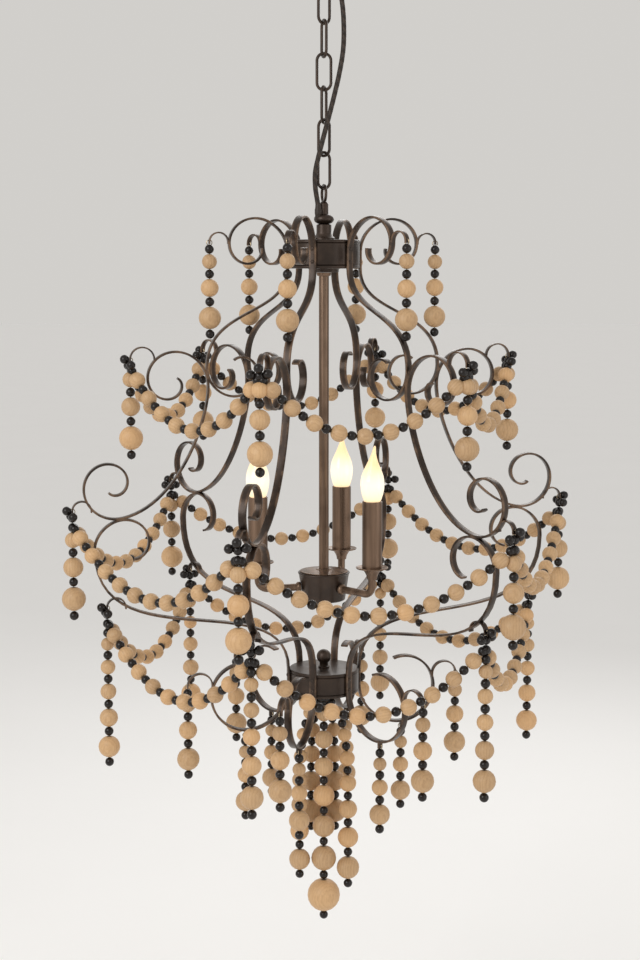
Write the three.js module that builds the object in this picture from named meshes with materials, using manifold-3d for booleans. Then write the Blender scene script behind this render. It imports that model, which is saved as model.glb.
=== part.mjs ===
// A six-armed scroll chandelier hung with wooden beads, on a chain from a ceiling canopy.
// Millimetres, +Z up. The origin is the ceiling, on the axis of the lamp.
import * as THREE from 'three';
import { mergeVertices } from 'three/addons/utils/BufferGeometryUtils.js';
import Module from 'manifold-3d';

const wasm = await Module();
wasm.setup();

// General fits
const gap = 0.3;
const weldBite = 1;

// Ceiling bracket, canopy and its loop
const bracketEndSpace = 12.4;
const bracketWidth = 20;
const bracketThickness = 3;
const canopyRadius = 62;
const canopyHeight = 60;
const canopyWall = 1.6;
const canopyFloorRadius = 24;
const canopyLip = 6;
const loopStemRadius = 5;
const loopCollarRadius = 11;
const loopCollarHeight = 7;
const loopShankLength = 14;
const loopWire = 4;
const loopInside = 9;

// Chain
const linkCount = 6;
const linkLength = 51.35;
const linkWidth = 22.5;
const linkWire = 4;
const linkPlay = 0.6;
const chainTurn = 71;
const frontLink = 3;

// Supply cable
const cableDiameter = 6.5;
const cableEntryAngle = 221;

// Neck, upper hub and centre tube
const neckStemRadius = 6;
const neckStemLength = 16;
const neckBulgeRadius = 13.5;
const neckBulgeHeight = 13;
const neckBodyRadius = 10;
const neckFootRadius = 15;
const neckBodyHeight = 21;
const hubRadius = 48;
const hubHeight = 38;
const hubBead = 2;
const flangeRadius = 20;
const flangeHeight = 5;
const tubeRadius = 6.75;
const tubeLength = 402;

// Lamp cup, lamp arms, pans, holders, sleeves and bulbs
const cupTopRadius = 35.5;
const cupBottomRadius = 29;
const cupHeight = 39;
const cupBossRadius = 10;
const cupBossHeight = 9;
const cupCoverRadius = 33;
const cupCoverHeight = 4;
const cupCoverBossRadius = 11;
const lampRadius = 92;
const lampArmDrop = 20;
const lampArmTube = 10;
const lampElbowRadius = 13;
const lampArmRise = 34;
const panRadius = 21.5;
const panHeight = 4;
const panWall = 1.8;
const sleeveRadius = 13.2;
const sleeveWall = 1.2;
const sleeveLength = 90;
const holderGap = 0.8;
const holderStemRadius = 5;
const holderBodyHeight = 28;
const holderBelowSleeve = 2;
const capRadius = 6.9;
const capClearance = 0.7;
const capLength = 24;
const bulbRadius = 16;
const bulbGlassHeight = 74;
const bulbTipBend = 4.5;

// Lower hub, its ball nut and the tassel under it
const lowerHubRadius = 48;
const lowerHubHeight = 33;
const lowerHubClearance = 60.8;
const nutStackRadius = 6;
const nutStackHeight = 5;
const nutBallRadius = 10;
const tasselKnotRadius = 9;
const tasselRootRadius = 5;
const tasselSpread = 34;
const tasselSpreadDepth = 60;

// Scroll strips of one arm
const stripWidth = 10;
const stripThickness = 3;
const crownCurl = { outer: 49, inner: 14, turn: 360 };
const shoulderCurl = { outer: 45, inner: 16, turn: 300 };
const elbowCurl = { outer: 52, inner: 10, turn: 400 };
const footCurl = { outer: 48.5, inner: 11, turn: 400 };
const wristCurl = { outer: 46, inner: 21, turn: 255 };
const basketCurl = { outer: 61, inner: 41.5, turn: 290 };
const crownCurlDrop = 10;
const shoulderReach = 117;
const shoulderDrop = 173;
const footReach = 288;
const footRise = 261;
const footHeading = -12;
const elbowWeldAngle = -9;
const wristWeldAngle = -105;
const armCount = 6;
const firstArmAngle = 12.7;
const lampCount = 3;
const firstLampAngle = 314;

// Hooks of one arm, each a narrow strip welded outside a curl
const hookWidth = 8;
const hookThickness = 2;
const hookTail = 5;
const crownHook = { radius: 12.5, angle: 12 };
const elbowHook = { radius: 16, angle: 54 };
const footHook = { radius: 12.5, angle: -50 };
const wristHook = { radius: 12.5, alongShare: 0.25 };
const basketHook = { radius: 17, angle: 16 };
const lugWidth = 8;
const lugHeight = 9;
const lugThickness = 2.5;

// Beads
const blackBead = 12.5;
const swagBead = 21.5;
const knotGap = 0.5;
const stringEnd = 1.5;
const upperSwag = { count: 9, drop: 7, lead: 1 };
const middleSwag = { count: 11, drop: 16, lead: 2 };
const lowerSwag = { count: 10, drop: 16, lead: 3 };
const crownDropBeads = [20, 24, 30];
const upperDropBeads = [21, 26, 32];
const middleDropBeads = [21, 27, 33];
const lowerDropBeads = [18, 20, 22, 25, 30];
const basketDropBeads = [20, 25, 31];
const innerDropBeads = [18, 22, 28];
const tasselBeads = [22, 26, 27, 31, 32, 36, 46];
const leftTasselBeads = [18, 18, 20, 22, 24, 27, 30];
const rightTasselBeads = [18, 20, 22, 24, 26, 30, 33];
const rearTasselBeads = [18, 21, 25, 29, 33];
const tasselSides = [[186, leftTasselBeads], [-4, rightTasselBeads], [62, rearTasselBeads], [122, rearTasselBeads]];

const degree = Math.PI / 180;
const rad = (angle) => angle * degree;
const evenAngles = (count, first) => Array.from({ length: count }, (_, i) => first + (i * 360) / count);
const armAngles = evenAngles(armCount, firstArmAngle);
const lampAngles = evenAngles(lampCount, firstLampAngle);

// Facet counts and shape shares
const roundSides = 16;
const smallSides = 12;
const wireSides = 6;
const dropSides = 5;
const swagSides = 4;
const cordSides = 8;
const curlStep = 36;
const runSteps = 6;
const lowerRunSteps = 9;
const cableSteps = 24;
const beadSwellShare = 1.07;
const blackNeckShare = 0.46;
const facetShare = Math.cos(rad(curlStep / 2));
const swagSagShare = Math.sqrt(3 / 8);
const crownLeadShare = 0.38;
const crownTrailShare = 0.47;
const middleLeadShare = 0.23;
const middleTrailShare = 0.36;
const lowerLeadShare = 0.5;
const lowerTrailShare = 0.4;
// Bulb glass: share of the glass height, share of the widest radius
const bulbShares = [[0, 0.7], [0.14, 0.9], [0.31, 1], [0.47, 0.9], [0.64, 0.6], [0.79, 0.32], [0.92, 0.16], [1, 0.06]];

const finishes = {
  bronze: { color: 0x2b1d14, metalness: 0.75, roughness: 0.45 },
  wood: { color: 0xc9a06a, metalness: 0, roughness: 0.7 },
  satinBrown: { color: 0x7a5c48, metalness: 0.8, roughness: 0.35 },
  porcelain: { color: 0xe9e6de, metalness: 0, roughness: 0.35 },
  glass: { color: 0xfff0cf, metalness: 0, roughness: 0.1 },
  cable: { color: 0x2c2018, metalness: 0, roughness: 0.5 },
};

const chandelier = new THREE.Group();

function addPiece(name, geometry, finish, angle = 0) {
  const mesh = new THREE.Mesh(geometry, new THREE.MeshStandardMaterial(finishes[finish]));
  mesh.name = name;
  mesh.rotation.z = rad(angle);
  chandelier.add(mesh);
  return mesh;
}

// Solids for joins and cuts
function toSolid(geometry) {
  const bare = geometry.clone();
  bare.deleteAttribute('normal');
  bare.deleteAttribute('uv');
  const merged = mergeVertices(bare);
  const mesh = new wasm.Mesh({
    numProp: 3,
    vertProperties: new Float32Array(merged.attributes.position.array),
    triVerts: new Uint32Array(merged.index.array),
  });
  mesh.merge();
  return new wasm.Manifold(mesh);
}

function toGeometry(solid) {
  const mesh = solid.getMesh();
  const geometry = new THREE.BufferGeometry();
  geometry.setAttribute('position', new THREE.BufferAttribute(mesh.vertProperties, 3));
  geometry.setIndex(new THREE.BufferAttribute(mesh.triVerts, 1));
  return geometry;
}

function joined(geometries) {
  return toGeometry(geometries.map(toSolid).reduce((whole, piece) => whole.add(piece)));
}

// A turned piece from (radius, height) points, listed upwards round its outside
function turned(profile, sides) {
  const points = profile.map(([radius, height]) => new THREE.Vector2(radius, height));
  const lathe = new THREE.LatheGeometry(points, sides);
  lathe.rotateX(Math.PI / 2);
  return toGeometry(toSolid(lathe));
}

// A solid through rings of points; section(i) gives the (side, rise) points of ring i
function swept(path, side, section, closed = false) {
  const positions = [];
  const faces = [];
  const last = path.length - 1;
  path.forEach((point, i) => {
    const before = path[i > 0 ? i - 1 : (closed ? last : 0)];
    const after = path[i < last ? i + 1 : (closed ? 0 : last)];
    const along = after.clone().sub(before).normalize();
    const rise = along.clone().cross(side).normalize();
    for (const [a, b] of section(i)) {
      positions.push(...point.clone().addScaledVector(side, a).addScaledVector(rise, b).toArray());
    }
  });
  const count = section(0).length;
  const rings = closed ? path.length : last;
  for (let i = 0; i < rings; i += 1) {
    const next = ((i + 1) % path.length) * count;
    for (let j = 0; j < count; j += 1) {
      const k = (j + 1) % count;
      faces.push(i * count + j, i * count + k, next + k);
      faces.push(i * count + j, next + k, next + j);
    }
  }
  if (!closed) {
    for (let j = 1; j < count - 1; j += 1) {
      faces.push(0, j + 1, j);
      faces.push(last * count, last * count + j, last * count + j + 1);
    }
  }
  const geometry = new THREE.BufferGeometry();
  geometry.setAttribute('position', new THREE.Float32BufferAttribute(positions, 3));
  geometry.setIndex(faces);
  return geometry;
}

function circleSection(radius, sides) {
  return Array.from({ length: sides }, (_, j) => {
    const turn = (j / sides) * 2 * Math.PI;
    return [radius * Math.cos(turn), radius * Math.sin(turn)];
  });
}

function stripSection(width, thickness) {
  const w = width / 2;
  const t = thickness / 2;
  return [[w, -t], [w, t], [-w, t], [-w, -t]];
}

const upright = (radial, height) => new THREE.Vector3(radial, 0, height);
const across = new THREE.Vector3(0, 1, 0);

// Heights down the axis, each from the piece above it
const bracketBottom = -bracketThickness;
const canopyBottom = -canopyHeight;
const collarBottom = canopyBottom - gap - loopCollarHeight;
const shankBottom = collarBottom - loopShankLength;
const loopCentre = shankBottom - loopInside;
const swingHeight = loopCentre - loopInside - loopWire / 2;
const linkCore = linkLength - linkWire;
const linkDrop = linkCore - linkWire - linkPlay;
const hangGap = (loopWire + linkWire) / 2 + linkPlay;
const firstLinkTop = swingHeight + hangGap;
const lastLinkBottom = firstLinkTop - linkDrop * (linkCount - 1) - linkCore;
const ringTop = lastLinkBottom + hangGap;
const ringCentre = ringTop - loopWire / 2 - loopInside;
const neckTop = ringCentre - loopInside - loopWire / 2;
const bulgeTop = neckTop - neckStemLength;
const hubTop = bulgeTop - neckBulgeHeight - neckBodyHeight - gap;
const hubBottom = hubTop - hubHeight;
const tubeTop = hubBottom - flangeHeight - gap;
const tubeBottom = tubeTop - tubeLength;
const cupTop = tubeBottom - gap - cupCoverHeight - gap;
const cupBottom = cupTop - cupHeight;
const nutHeight = gap + nutStackHeight + 2 * nutBallRadius;
const lowerHubTop = cupBottom - cupBossHeight - lowerHubClearance - nutHeight;
const lowerHubBottom = lowerHubTop - lowerHubHeight;

// Ceiling bracket: a flat bar that the canopy's loop screws into
function ceilingBracket() {
  const length = 2 * (canopyRadius - canopyWall - bracketEndSpace);
  const bar = new THREE.BoxGeometry(length, bracketWidth, bracketThickness);
  bar.translate(0, 0, bracketBottom / 2);
  return bar;
}

// Canopy: a spun dome, open at the ceiling, with a hole in its floor for the loop's stem
function ceilingCanopy() {
  const hole = loopStemRadius + gap;
  const shoulder = canopyRadius - canopyLip;
  const rise = canopyHeight - canopyLip;
  const outside = [[hole, canopyBottom]];
  const inside = [];
  const steps = 4;
  for (let i = 0; i <= steps; i += 1) {
    const turn = (i / steps) * (Math.PI / 2);
    const reach = 1 - Math.cos(turn);
    const height = canopyBottom + rise * reach;
    const radius = canopyFloorRadius + (shoulder - canopyFloorRadius) * Math.sin(turn);
    outside.push([radius, height]);
    inside.unshift([radius - canopyWall, height + canopyWall]);
  }
  outside.push([canopyRadius, -canopyLip], [canopyRadius, -gap], [canopyRadius - canopyWall, -gap]);
  inside.unshift([canopyRadius - canopyWall, -canopyLip + canopyWall]);
  const profile = [...outside, ...inside, [hole, canopyBottom + canopyWall], [hole, canopyBottom]];
  return turned(profile, roundSides);
}

// Down the hanging chain each ring and link is turned by the same angle from the one above,
// so that the third link faces the front. The canopy's ring is the chain's place 0.
const turnInChain = (place) => rad(chainTurn * (place - frontLink));

function ring(centreHeight, place) {
  const path = [];
  const steps = 12;
  const radius = loopInside + loopWire / 2;
  for (let i = 0; i < steps; i += 1) {
    const sweep = (i / steps) * 2 * Math.PI;
    path.push(upright(radius * Math.sin(sweep), centreHeight + radius * Math.cos(sweep)));
  }
  const wire = swept(path, across, () => circleSection(loopWire / 2, wireSides), true);
  wire.rotateZ(turnInChain(place));
  return wire;
}

// Canopy loop: stem through the canopy, collar under it, shank and ring
function canopyLoop() {
  const stem = turned([
    [0, shankBottom - loopWire / 2],
    [loopStemRadius, shankBottom - loopWire / 2],
    [loopStemRadius, collarBottom],
    [loopCollarRadius, collarBottom],
    [loopCollarRadius, canopyBottom - gap],
    [loopStemRadius, canopyBottom - gap],
    [loopStemRadius, bracketBottom - gap],
    [0, bracketBottom - gap],
  ], smallSides);
  return joined([stem, ring(loopCentre, 0)]);
}

// One oval link, its top bend at the given height of the wire's centre
function chainLink(topHeight, place) {
  const radius = (linkWidth - linkWire) / 2;
  const straight = linkCore - 2 * radius;
  const path = [];
  const steps = 4;
  for (let end = 0; end < 2; end += 1) {
    for (let i = 0; i <= steps; i += 1) {
      const sweep = Math.PI * (end + i / steps);
      const height = topHeight - radius - (end ? straight : 0) + radius * Math.sin(sweep);
      path.push(new THREE.Vector3(radius * Math.cos(sweep), 0, height));
    }
  }
  const link = swept(path, across, () => circleSection(linkWire / 2, wireSides), true);
  link.rotateZ(turnInChain(place));
  return link;
}

// Neck: ring, stem, bulge and turned foot on the upper hub
function neckLoop() {
  const bulgeMiddle = bulgeTop - neckBulgeHeight / 2;
  const bulgeBottom = bulgeTop - neckBulgeHeight;
  const body = turned([
    [0, hubTop + gap],
    [neckFootRadius, hubTop + gap],
    [neckBodyRadius, (hubTop + bulgeBottom) / 2],
    [neckBodyRadius, bulgeBottom],
    [neckBulgeRadius, bulgeMiddle],
    [neckBulgeRadius, bulgeTop],
    [neckStemRadius, bulgeTop],
    [neckStemRadius, neckTop],
    [0, neckTop + loopWire / 2],
  ], smallSides);
  return joined([body, ring(ringCentre, linkCount + 1)]);
}

// Upper hub: a drum that carries the arms, with a flange for the centre tube
function upperHub() {
  return turned([
    [0, hubBottom - flangeHeight],
    [flangeRadius, hubBottom - flangeHeight],
    [flangeRadius, hubBottom],
    [hubRadius, hubBottom],
    [hubRadius, hubTop - hubBead],
    [hubRadius - hubBead, hubTop],
    [0, hubTop],
  ], roundSides);
}

function centreTube() {
  return turned([[0, tubeBottom], [tubeRadius, tubeBottom], [tubeRadius, tubeTop], [0, tubeTop]], smallSides);
}

// Lamp cup and its cover
function cupCover() {
  const bottom = cupTop + gap;
  const top = bottom + cupCoverHeight;
  return turned([
    [0, bottom],
    [cupCoverRadius, bottom],
    [cupCoverBossRadius, top],
    [0, top],
  ], roundSides);
}

function lampCup() {
  return turned([
    [0, cupBottom - cupBossHeight],
    [cupBossRadius, cupBottom - cupBossHeight],
    [cupBossRadius, cupBottom],
    [cupBottomRadius, cupBottom],
    [cupTopRadius, cupTop],
    [0, cupTop],
  ], roundSides);
}

// Heights of one lamp, from its arm's tube up
const lampArmHeight = cupTop - lampArmDrop;
const panBottom = lampArmHeight + lampArmRise + gap;
const panFloor = panBottom + panWall;
const sleeveBottom = panFloor + gap;
const sleeveTop = sleeveBottom + sleeveLength;
const holderTop = sleeveTop - holderBelowSleeve;
const holderRadius = sleeveRadius - sleeveWall - holderGap;
const boreRadius = capRadius + capClearance;
const capBottom = holderTop - capLength;

// Lamp arm: out of the cup's side, then up to the pan
function lampArm() {
  const tubeTopShare = (lampArmDrop - lampArmTube / 2) / cupHeight;
  const cupThere = cupTopRadius + (cupBottomRadius - cupTopRadius) * tubeTopShare;
  const path = [upright(cupThere + gap, lampArmHeight)];
  const steps = 4;
  for (let i = 0; i <= steps; i += 1) {
    const turn = (i / steps) * (Math.PI / 2);
    const reach = lampRadius - lampElbowRadius * (1 - Math.sin(turn));
    const height = lampArmHeight + lampElbowRadius * (1 - Math.cos(turn));
    path.push(upright(reach, height));
  }
  path.push(upright(lampRadius, lampArmHeight + lampArmRise));
  return swept(path, across, () => circleSection(lampArmTube / 2, cordSides));
}

function dripPan() {
  const rimTop = panBottom + panHeight;
  return turned([
    [0, panBottom],
    [sleeveRadius, panBottom],
    [panRadius, rimTop - panWall],
    [panRadius, rimTop],
    [sleeveRadius + panWall, panFloor],
    [0, panFloor],
  ], roundSides);
}

function lampholder() {
  const bodyBottom = holderTop - holderBodyHeight;
  return turned([
    [0, sleeveBottom],
    [holderStemRadius, sleeveBottom],
    [holderStemRadius, bodyBottom],
    [holderRadius, bodyBottom],
    [holderRadius, holderTop],
    [boreRadius, holderTop],
    [boreRadius, capBottom - gap],
    [0, capBottom - gap],
  ], smallSides);
}

function candleSleeve() {
  const inner = sleeveRadius - sleeveWall;
  return turned([
    [inner, sleeveBottom],
    [sleeveRadius, sleeveBottom],
    [sleeveRadius, sleeveTop],
    [inner, sleeveTop],
    [inner, sleeveBottom],
  ], smallSides);
}

// Flame bulb: screw cap and glass, the tip bent to one side
function flameBulb() {
  const path = [upright(0, capBottom), upright(0, holderTop + gap)];
  const radii = [capRadius, capRadius];
  for (const [heightShare, radiusShare] of bulbShares) {
    path.push(upright(bulbTipBend * heightShare ** 4, sleeveTop + bulbGlassHeight * heightShare));
    radii.push(bulbRadius * radiusShare);
  }
  return swept(path, across, (i) => circleSection(radii[i], cordSides));
}

// Lower hub and the ball nut on it
function lowerHub() {
  return turned([
    [0, lowerHubBottom],
    [lowerHubRadius - hubBead, lowerHubBottom],
    [lowerHubRadius, lowerHubBottom + hubBead],
    [lowerHubRadius, lowerHubTop - hubBead],
    [lowerHubRadius - hubBead, lowerHubTop],
    [0, lowerHubTop],
  ], roundSides);
}

function ballNut() {
  const bottom = lowerHubTop + gap;
  const ballCentre = bottom + nutStackHeight + nutBallRadius;
  const profile = [[0, bottom], [nutStackRadius, bottom]];
  const steps = 6;
  const first = -Math.acos(nutStackRadius / nutBallRadius);
  for (let i = 0; i < steps; i += 1) {
    const turn = first + (Math.PI / 2 - first) * (i / steps);
    profile.push([nutBallRadius * Math.cos(turn), ballCentre + nutBallRadius * Math.sin(turn)]);
  }
  profile.push([0, ballCentre + nutBallRadius]);
  return turned(profile, smallSides);
}

// A curl is a spiral in the arm's plane: hand is 1 for one that winds out
// anticlockwise and -1 for clockwise, and heading is its direction at the outer end.
function placedCurl(size, hand, heading) {
  const growth = (size.outer - size.inner) / rad(size.turn);
  const lead = Math.atan(growth / size.outer);
  const end = rad(heading) - hand * (Math.PI / 2 - lead);
  return { ...size, hand, growth, end, heading: rad(heading), centre: new THREE.Vector2() };
}

function curlRadiusAt(curl, angle) {
  const back = curl.hand * (curl.end - rad(angle));
  const turn = 2 * Math.PI;
  return curl.outer - curl.growth * (((back % turn) + turn) % turn);
}

function curlPoint(curl, angle, extra = 0) {
  const radius = curlRadiusAt(curl, angle) * facetShare + extra;
  return curl.centre.clone().add(new THREE.Vector2(Math.cos(rad(angle)), Math.sin(rad(angle))).multiplyScalar(radius));
}

// Points from the inner end to the outer end
function curlPoints(curl) {
  const steps = Math.round(curl.turn / curlStep);
  return Array.from({ length: steps + 1 }, (_, i) => {
    const left = rad(curl.turn) * (1 - i / steps);
    const angle = curl.end - curl.hand * left;
    const radius = curl.outer - curl.growth * left;
    return curl.centre.clone().add(new THREE.Vector2(Math.cos(angle), Math.sin(angle)).multiplyScalar(radius));
  });
}

function outerEnd(curl) {
  return curlPoints(curl).pop();
}

// The second curl's centre when it is welded to the first one at the given angle
function weldCurl(first, second, angle) {
  const toward = new THREE.Vector2(Math.cos(rad(angle)), Math.sin(rad(angle)));
  const radii = curlRadiusAt(first, angle) + curlRadiusAt(second, angle + 180);
  return first.centre.clone().addScaledVector(toward, radii * facetShare + stripThickness - weldBite);
}

function curveBetween(from, fromHeading, to, toHeading, leadShare, trailShare) {
  const span = from.distanceTo(to);
  const lead = new THREE.Vector2(Math.cos(fromHeading), Math.sin(fromHeading)).multiplyScalar(span * leadShare);
  const trail = new THREE.Vector2(Math.cos(toHeading), Math.sin(toHeading)).multiplyScalar(span * trailShare);
  return new THREE.CubicBezierCurve(from, from.clone().add(lead), to.clone().sub(trail), to);
}

const between = (curve, steps) => curve.getPoints(steps).slice(1, -1);

const down = rad(-90);
const stripRadius = hubRadius + gap + stripThickness / 2;
const lowerStripRadius = lowerHubRadius + gap + stripThickness / 2;

// The six curls of an arm, from the crown down to the basket
const crown = placedCurl(crownCurl, 1, -90);
crown.centre.set(stripRadius - crown.outer * Math.cos(crown.end), hubTop - crownCurlDrop);
const shoulder = placedCurl(shoulderCurl, 1, 90);
shoulder.centre.set(shoulderReach, hubTop - shoulderDrop);
const elbow = placedCurl(elbowCurl, 1, -90);
elbow.centre.copy(weldCurl(shoulder, elbow, elbowWeldAngle));
const foot = placedCurl(footCurl, -1, footHeading + 180);
foot.centre.set(footReach, lowerHubTop + footRise);
const wrist = placedCurl(wristCurl, -1, -90);
wrist.centre.copy(weldCurl(foot, wrist, wristWeldAngle));
const basket = placedCurl(basketCurl, -1, 90);
basket.centre.set(lowerStripRadius - basket.outer * Math.cos(basket.end), lowerHubBottom + stripThickness);

const upperHubEdge = new THREE.Vector2(stripRadius, hubBottom);
const lowerHubEdge = new THREE.Vector2(lowerStripRadius, lowerHubTop);

function upperRun() {
  return curveBetween(upperHubEdge, down, outerEnd(shoulder), down, crownLeadShare, crownTrailShare);
}

function middleRun() {
  return curveBetween(outerEnd(elbow), down, outerEnd(foot), rad(footHeading), middleLeadShare, middleTrailShare);
}

function lowerRun() {
  return curveBetween(outerEnd(wrist), down, lowerHubEdge, down, lowerLeadShare, lowerTrailShare);
}

function crownStrip() {
  return [...curlPoints(crown), upperHubEdge, ...between(upperRun(), runSteps), ...curlPoints(shoulder).reverse()];
}

function middleStrip() {
  return [...curlPoints(elbow), ...between(middleRun(), runSteps), ...curlPoints(foot).reverse()];
}

function lowerStrip() {
  return [...curlPoints(wrist), ...between(lowerRun(), lowerRunSteps), lowerHubEdge, ...curlPoints(basket).reverse()];
}

function strip(points, width, thickness) {
  const path = points.map((point) => upright(point.x, point.y));
  return swept(path, across, () => stripSection(width, thickness));
}

// Where a hook is welded: outside a curl at an angle, or outside a run at a share of its length
function hookRoot(carrier, hook) {
  const offset = (stripThickness + hookThickness) / 2 - weldBite;
  if (hook.angle !== undefined) return curlPoint(carrier, hook.angle, offset);
  const along = carrier.getTangent(hook.alongShare);
  return carrier.getPoint(hook.alongShare).add(new THREE.Vector2(-along.y, along.x).multiplyScalar(offset));
}

// A hook rises from its weld and turns over away from the axis
function hookPoints(carrier, hook) {
  const root = hookRoot(carrier, hook);
  const steps = 4;
  const points = [new THREE.Vector2(root.x, root.y - hookTail / 2)];
  for (let i = 0; i <= steps; i += 1) {
    const turn = Math.PI * (1 - i / steps);
    points.push(new THREE.Vector2(
      root.x + hook.radius + hook.radius * Math.cos(turn),
      root.y + hook.radius * Math.sin(turn),
    ));
  }
  points.push(new THREE.Vector2(root.x + 2 * hook.radius, root.y - hookTail / 2));
  return points;
}

const hooks = [[crown, crownHook], [elbow, elbowHook], [foot, footHook], [lowerRun(), wristHook], [basket, basketHook]];
const hookTip = ([carrier, hook]) => hookPoints(carrier, hook).pop();
const [crownTip, elbowTip, footTip, wristTip, basketTip] = hooks.map(hookTip);
const lugRoot = curlPoint(basket, -90);
const lugTip = new THREE.Vector2(lugRoot.x, lugRoot.y - lugHeight);

function scrollArm() {
  const strips = [crownStrip(), middleStrip(), lowerStrip()].map((points) => strip(points, stripWidth, stripThickness));
  const hooked = hooks.map(([carrier, hook]) => strip(hookPoints(carrier, hook), hookWidth, hookThickness));
  const lug = new THREE.BoxGeometry(lugThickness, lugWidth, lugHeight);
  lug.translate(lugTip.x, 0, lugTip.y + lugHeight / 2);
  return joined([...strips, ...hooked, lug]);
}

// Bead strings: a tan bead, then a black one, below the leading black beads
function stringStations(beads, lead) {
  const stations = [{ at: (lead * blackBead) / 2, radius: blackBead * blackNeckShare }];
  let at = lead * blackBead;
  for (const bead of beads) {
    stations.push({ at: at + bead / 2, radius: (bead / 2) * beadSwellShare });
    stations.push({ at: at + bead + blackBead / 2, radius: blackBead * blackNeckShare });
    at += bead + blackBead;
  }
  return { stations, length: at };
}

function beadString(beads, place, side, sides = dropSides, lead = 1) {
  const { stations, length } = stringStations(beads, lead);
  const ends = [{ at: 0, radius: stringEnd }, ...stations, { at: length, radius: stringEnd }];
  return swept(ends.map(({ at }) => place(at, length)), side, (i) => circleSection(ends[i].radius, sides));
}

function dropString(beads, tip, lead = 1) {
  return beadString(beads, (at) => upright(tip.x, tip.y - knotGap - at), across, dropSides, lead);
}

// A swag of equal beads between two knots, hanging in a parabola of its own length
function swagString(count, from, to) {
  const side = to.clone().sub(from).cross(new THREE.Vector3(0, 0, 1)).normalize();
  const span = from.distanceTo(to);
  const beads = Array(count).fill(swagBead);
  const place = (at, length) => {
    const sag = span * swagSagShare * Math.sqrt(Math.max(length / span - 1, 0));
    const curve = new THREE.QuadraticBezierCurve3(
      from,
      from.clone().add(to).multiplyScalar(1 / 2).setZ((from.z + to.z) / 2 - 2 * sag),
      to,
    );
    return curve.getPointAt(at / length);
  };
  return beadString(beads, place, side, swagSides);
}

// A garland: a swag between each pair of neighbouring hooks and a drop at each hook
function garland(tip, swag, dropBeads) {
  const pieces = [];
  const knots = armAngles.map((angle) => {
    const knot = new THREE.Vector3(tip.x, 0, tip.y - knotGap - swag.drop);
    return knot.applyAxisAngle(new THREE.Vector3(0, 0, 1), rad(angle));
  });
  armAngles.forEach((angle, i) => {
    const drop = dropString(dropBeads, tip, swag.lead);
    drop.rotateZ(rad(angle));
    pieces.push(drop, swagString(swag.count, knots[i], knots[(i + 1) % knots.length]));
  });
  return joined(pieces);
}

// Tassel: a round knot under the lower hub, a long centre string and shorter ones round it
function tassel() {
  const root = lowerHubBottom - knotGap - tasselKnotRadius;
  const knot = new THREE.IcosahedronGeometry(tasselKnotRadius, 1);
  knot.translate(0, 0, root);
  const centre = beadString(tasselBeads, (at) => upright(0, root - at), across);
  const sides = tasselSides.map(([angle, beads]) => {
    const place = (at) => {
      const spread = 1 - Math.exp(-at / (tasselSpreadDepth / 2));
      return upright(tasselRootRadius + (tasselSpread - tasselRootRadius) * spread, root - at);
    };
    const string = beadString(beads, place, across);
    string.rotateZ(rad(angle));
    return string;
  });
  return joined([knot, centre, ...sides]);
}

// Supply cable: from the canopy's floor down beside the chain and into the neck.
// The route is chosen by hand; only its two ends follow the pieces that they meet.
function supplyCable() {
  const start = [16, 0, canopyBottom - gap];
  const reach = neckStemRadius + cableDiameter / 2 + 2 * gap;
  const end = [reach * Math.cos(rad(cableEntryAngle)), reach * Math.sin(rad(cableEntryAngle)), bulgeTop + gap];
  const route = [start, [16, 0, -72], [19, -4, -95], [24, -8, -120], [26, -10, -150], [25, -12, -180],
    [20, -14, -210], [13, -16, -240], [6, -17, -267], [-1, -16.5, -293], [-7, -15, -316],
    [-11.5, -12, -337], [-11.5, -9, -356], [-9, -7.4, -373], [-7.6, -6.6, -384], end];
  const curve = new THREE.CatmullRomCurve3(route.map((point) => new THREE.Vector3(...point)));
  const section = new THREE.Shape(circleSection(cableDiameter / 2, cordSides).map(([a, b]) => new THREE.Vector2(a, b)));
  return new THREE.ExtrudeGeometry(section, { steps: cableSteps, bevelEnabled: false, extrudePath: curve });
}

// Assembly
addPiece('ceiling_bracket', ceilingBracket(), 'bronze');
addPiece('ceiling_canopy', ceilingCanopy(), 'bronze');
addPiece('canopy_loop', canopyLoop(), 'bronze');
for (let place = 1; place <= linkCount; place += 1) {
  addPiece(`chain_link_${place}`, chainLink(firstLinkTop - linkDrop * (place - 1), place), 'bronze');
}
addPiece('supply_cable', supplyCable(), 'cable');
addPiece('neck_loop', neckLoop(), 'bronze');
addPiece('upper_hub', upperHub(), 'bronze');
addPiece('centre_tube', centreTube(), 'satinBrown');
addPiece('cup_cover', cupCover(), 'satinBrown');
addPiece('lamp_cup', lampCup(), 'bronze');
lampAngles.forEach((angle, i) => {
  const number = i + 1;
  const lamp = new THREE.Group();
  lamp.rotation.z = rad(angle);
  chandelier.add(lamp);
  lamp.add(addPiece(`lamp_arm_${number}`, lampArm(), 'satinBrown'));
  for (const [name, make, finish] of [
    ['drip_pan', dripPan, 'satinBrown'],
    ['lampholder', lampholder, 'porcelain'],
    ['candle_sleeve', candleSleeve, 'satinBrown'],
    ['bulb', flameBulb, 'glass'],
  ]) {
    const piece = addPiece(`${name}_${number}`, make(), finish);
    piece.position.x = lampRadius;
    lamp.add(piece);
  }
});
addPiece('lower_hub', lowerHub(), 'bronze');
addPiece('ball_nut', ballNut(), 'bronze');
armAngles.forEach((angle, i) => addPiece(`scroll_arm_${i + 1}`, scrollArm(), 'bronze', angle));
addPiece('upper_garland', garland(elbowTip, upperSwag, upperDropBeads), 'wood');
addPiece('middle_garland', garland(footTip, middleSwag, middleDropBeads), 'wood');
addPiece('lower_garland', garland(wristTip, lowerSwag, lowerDropBeads), 'wood');
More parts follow.
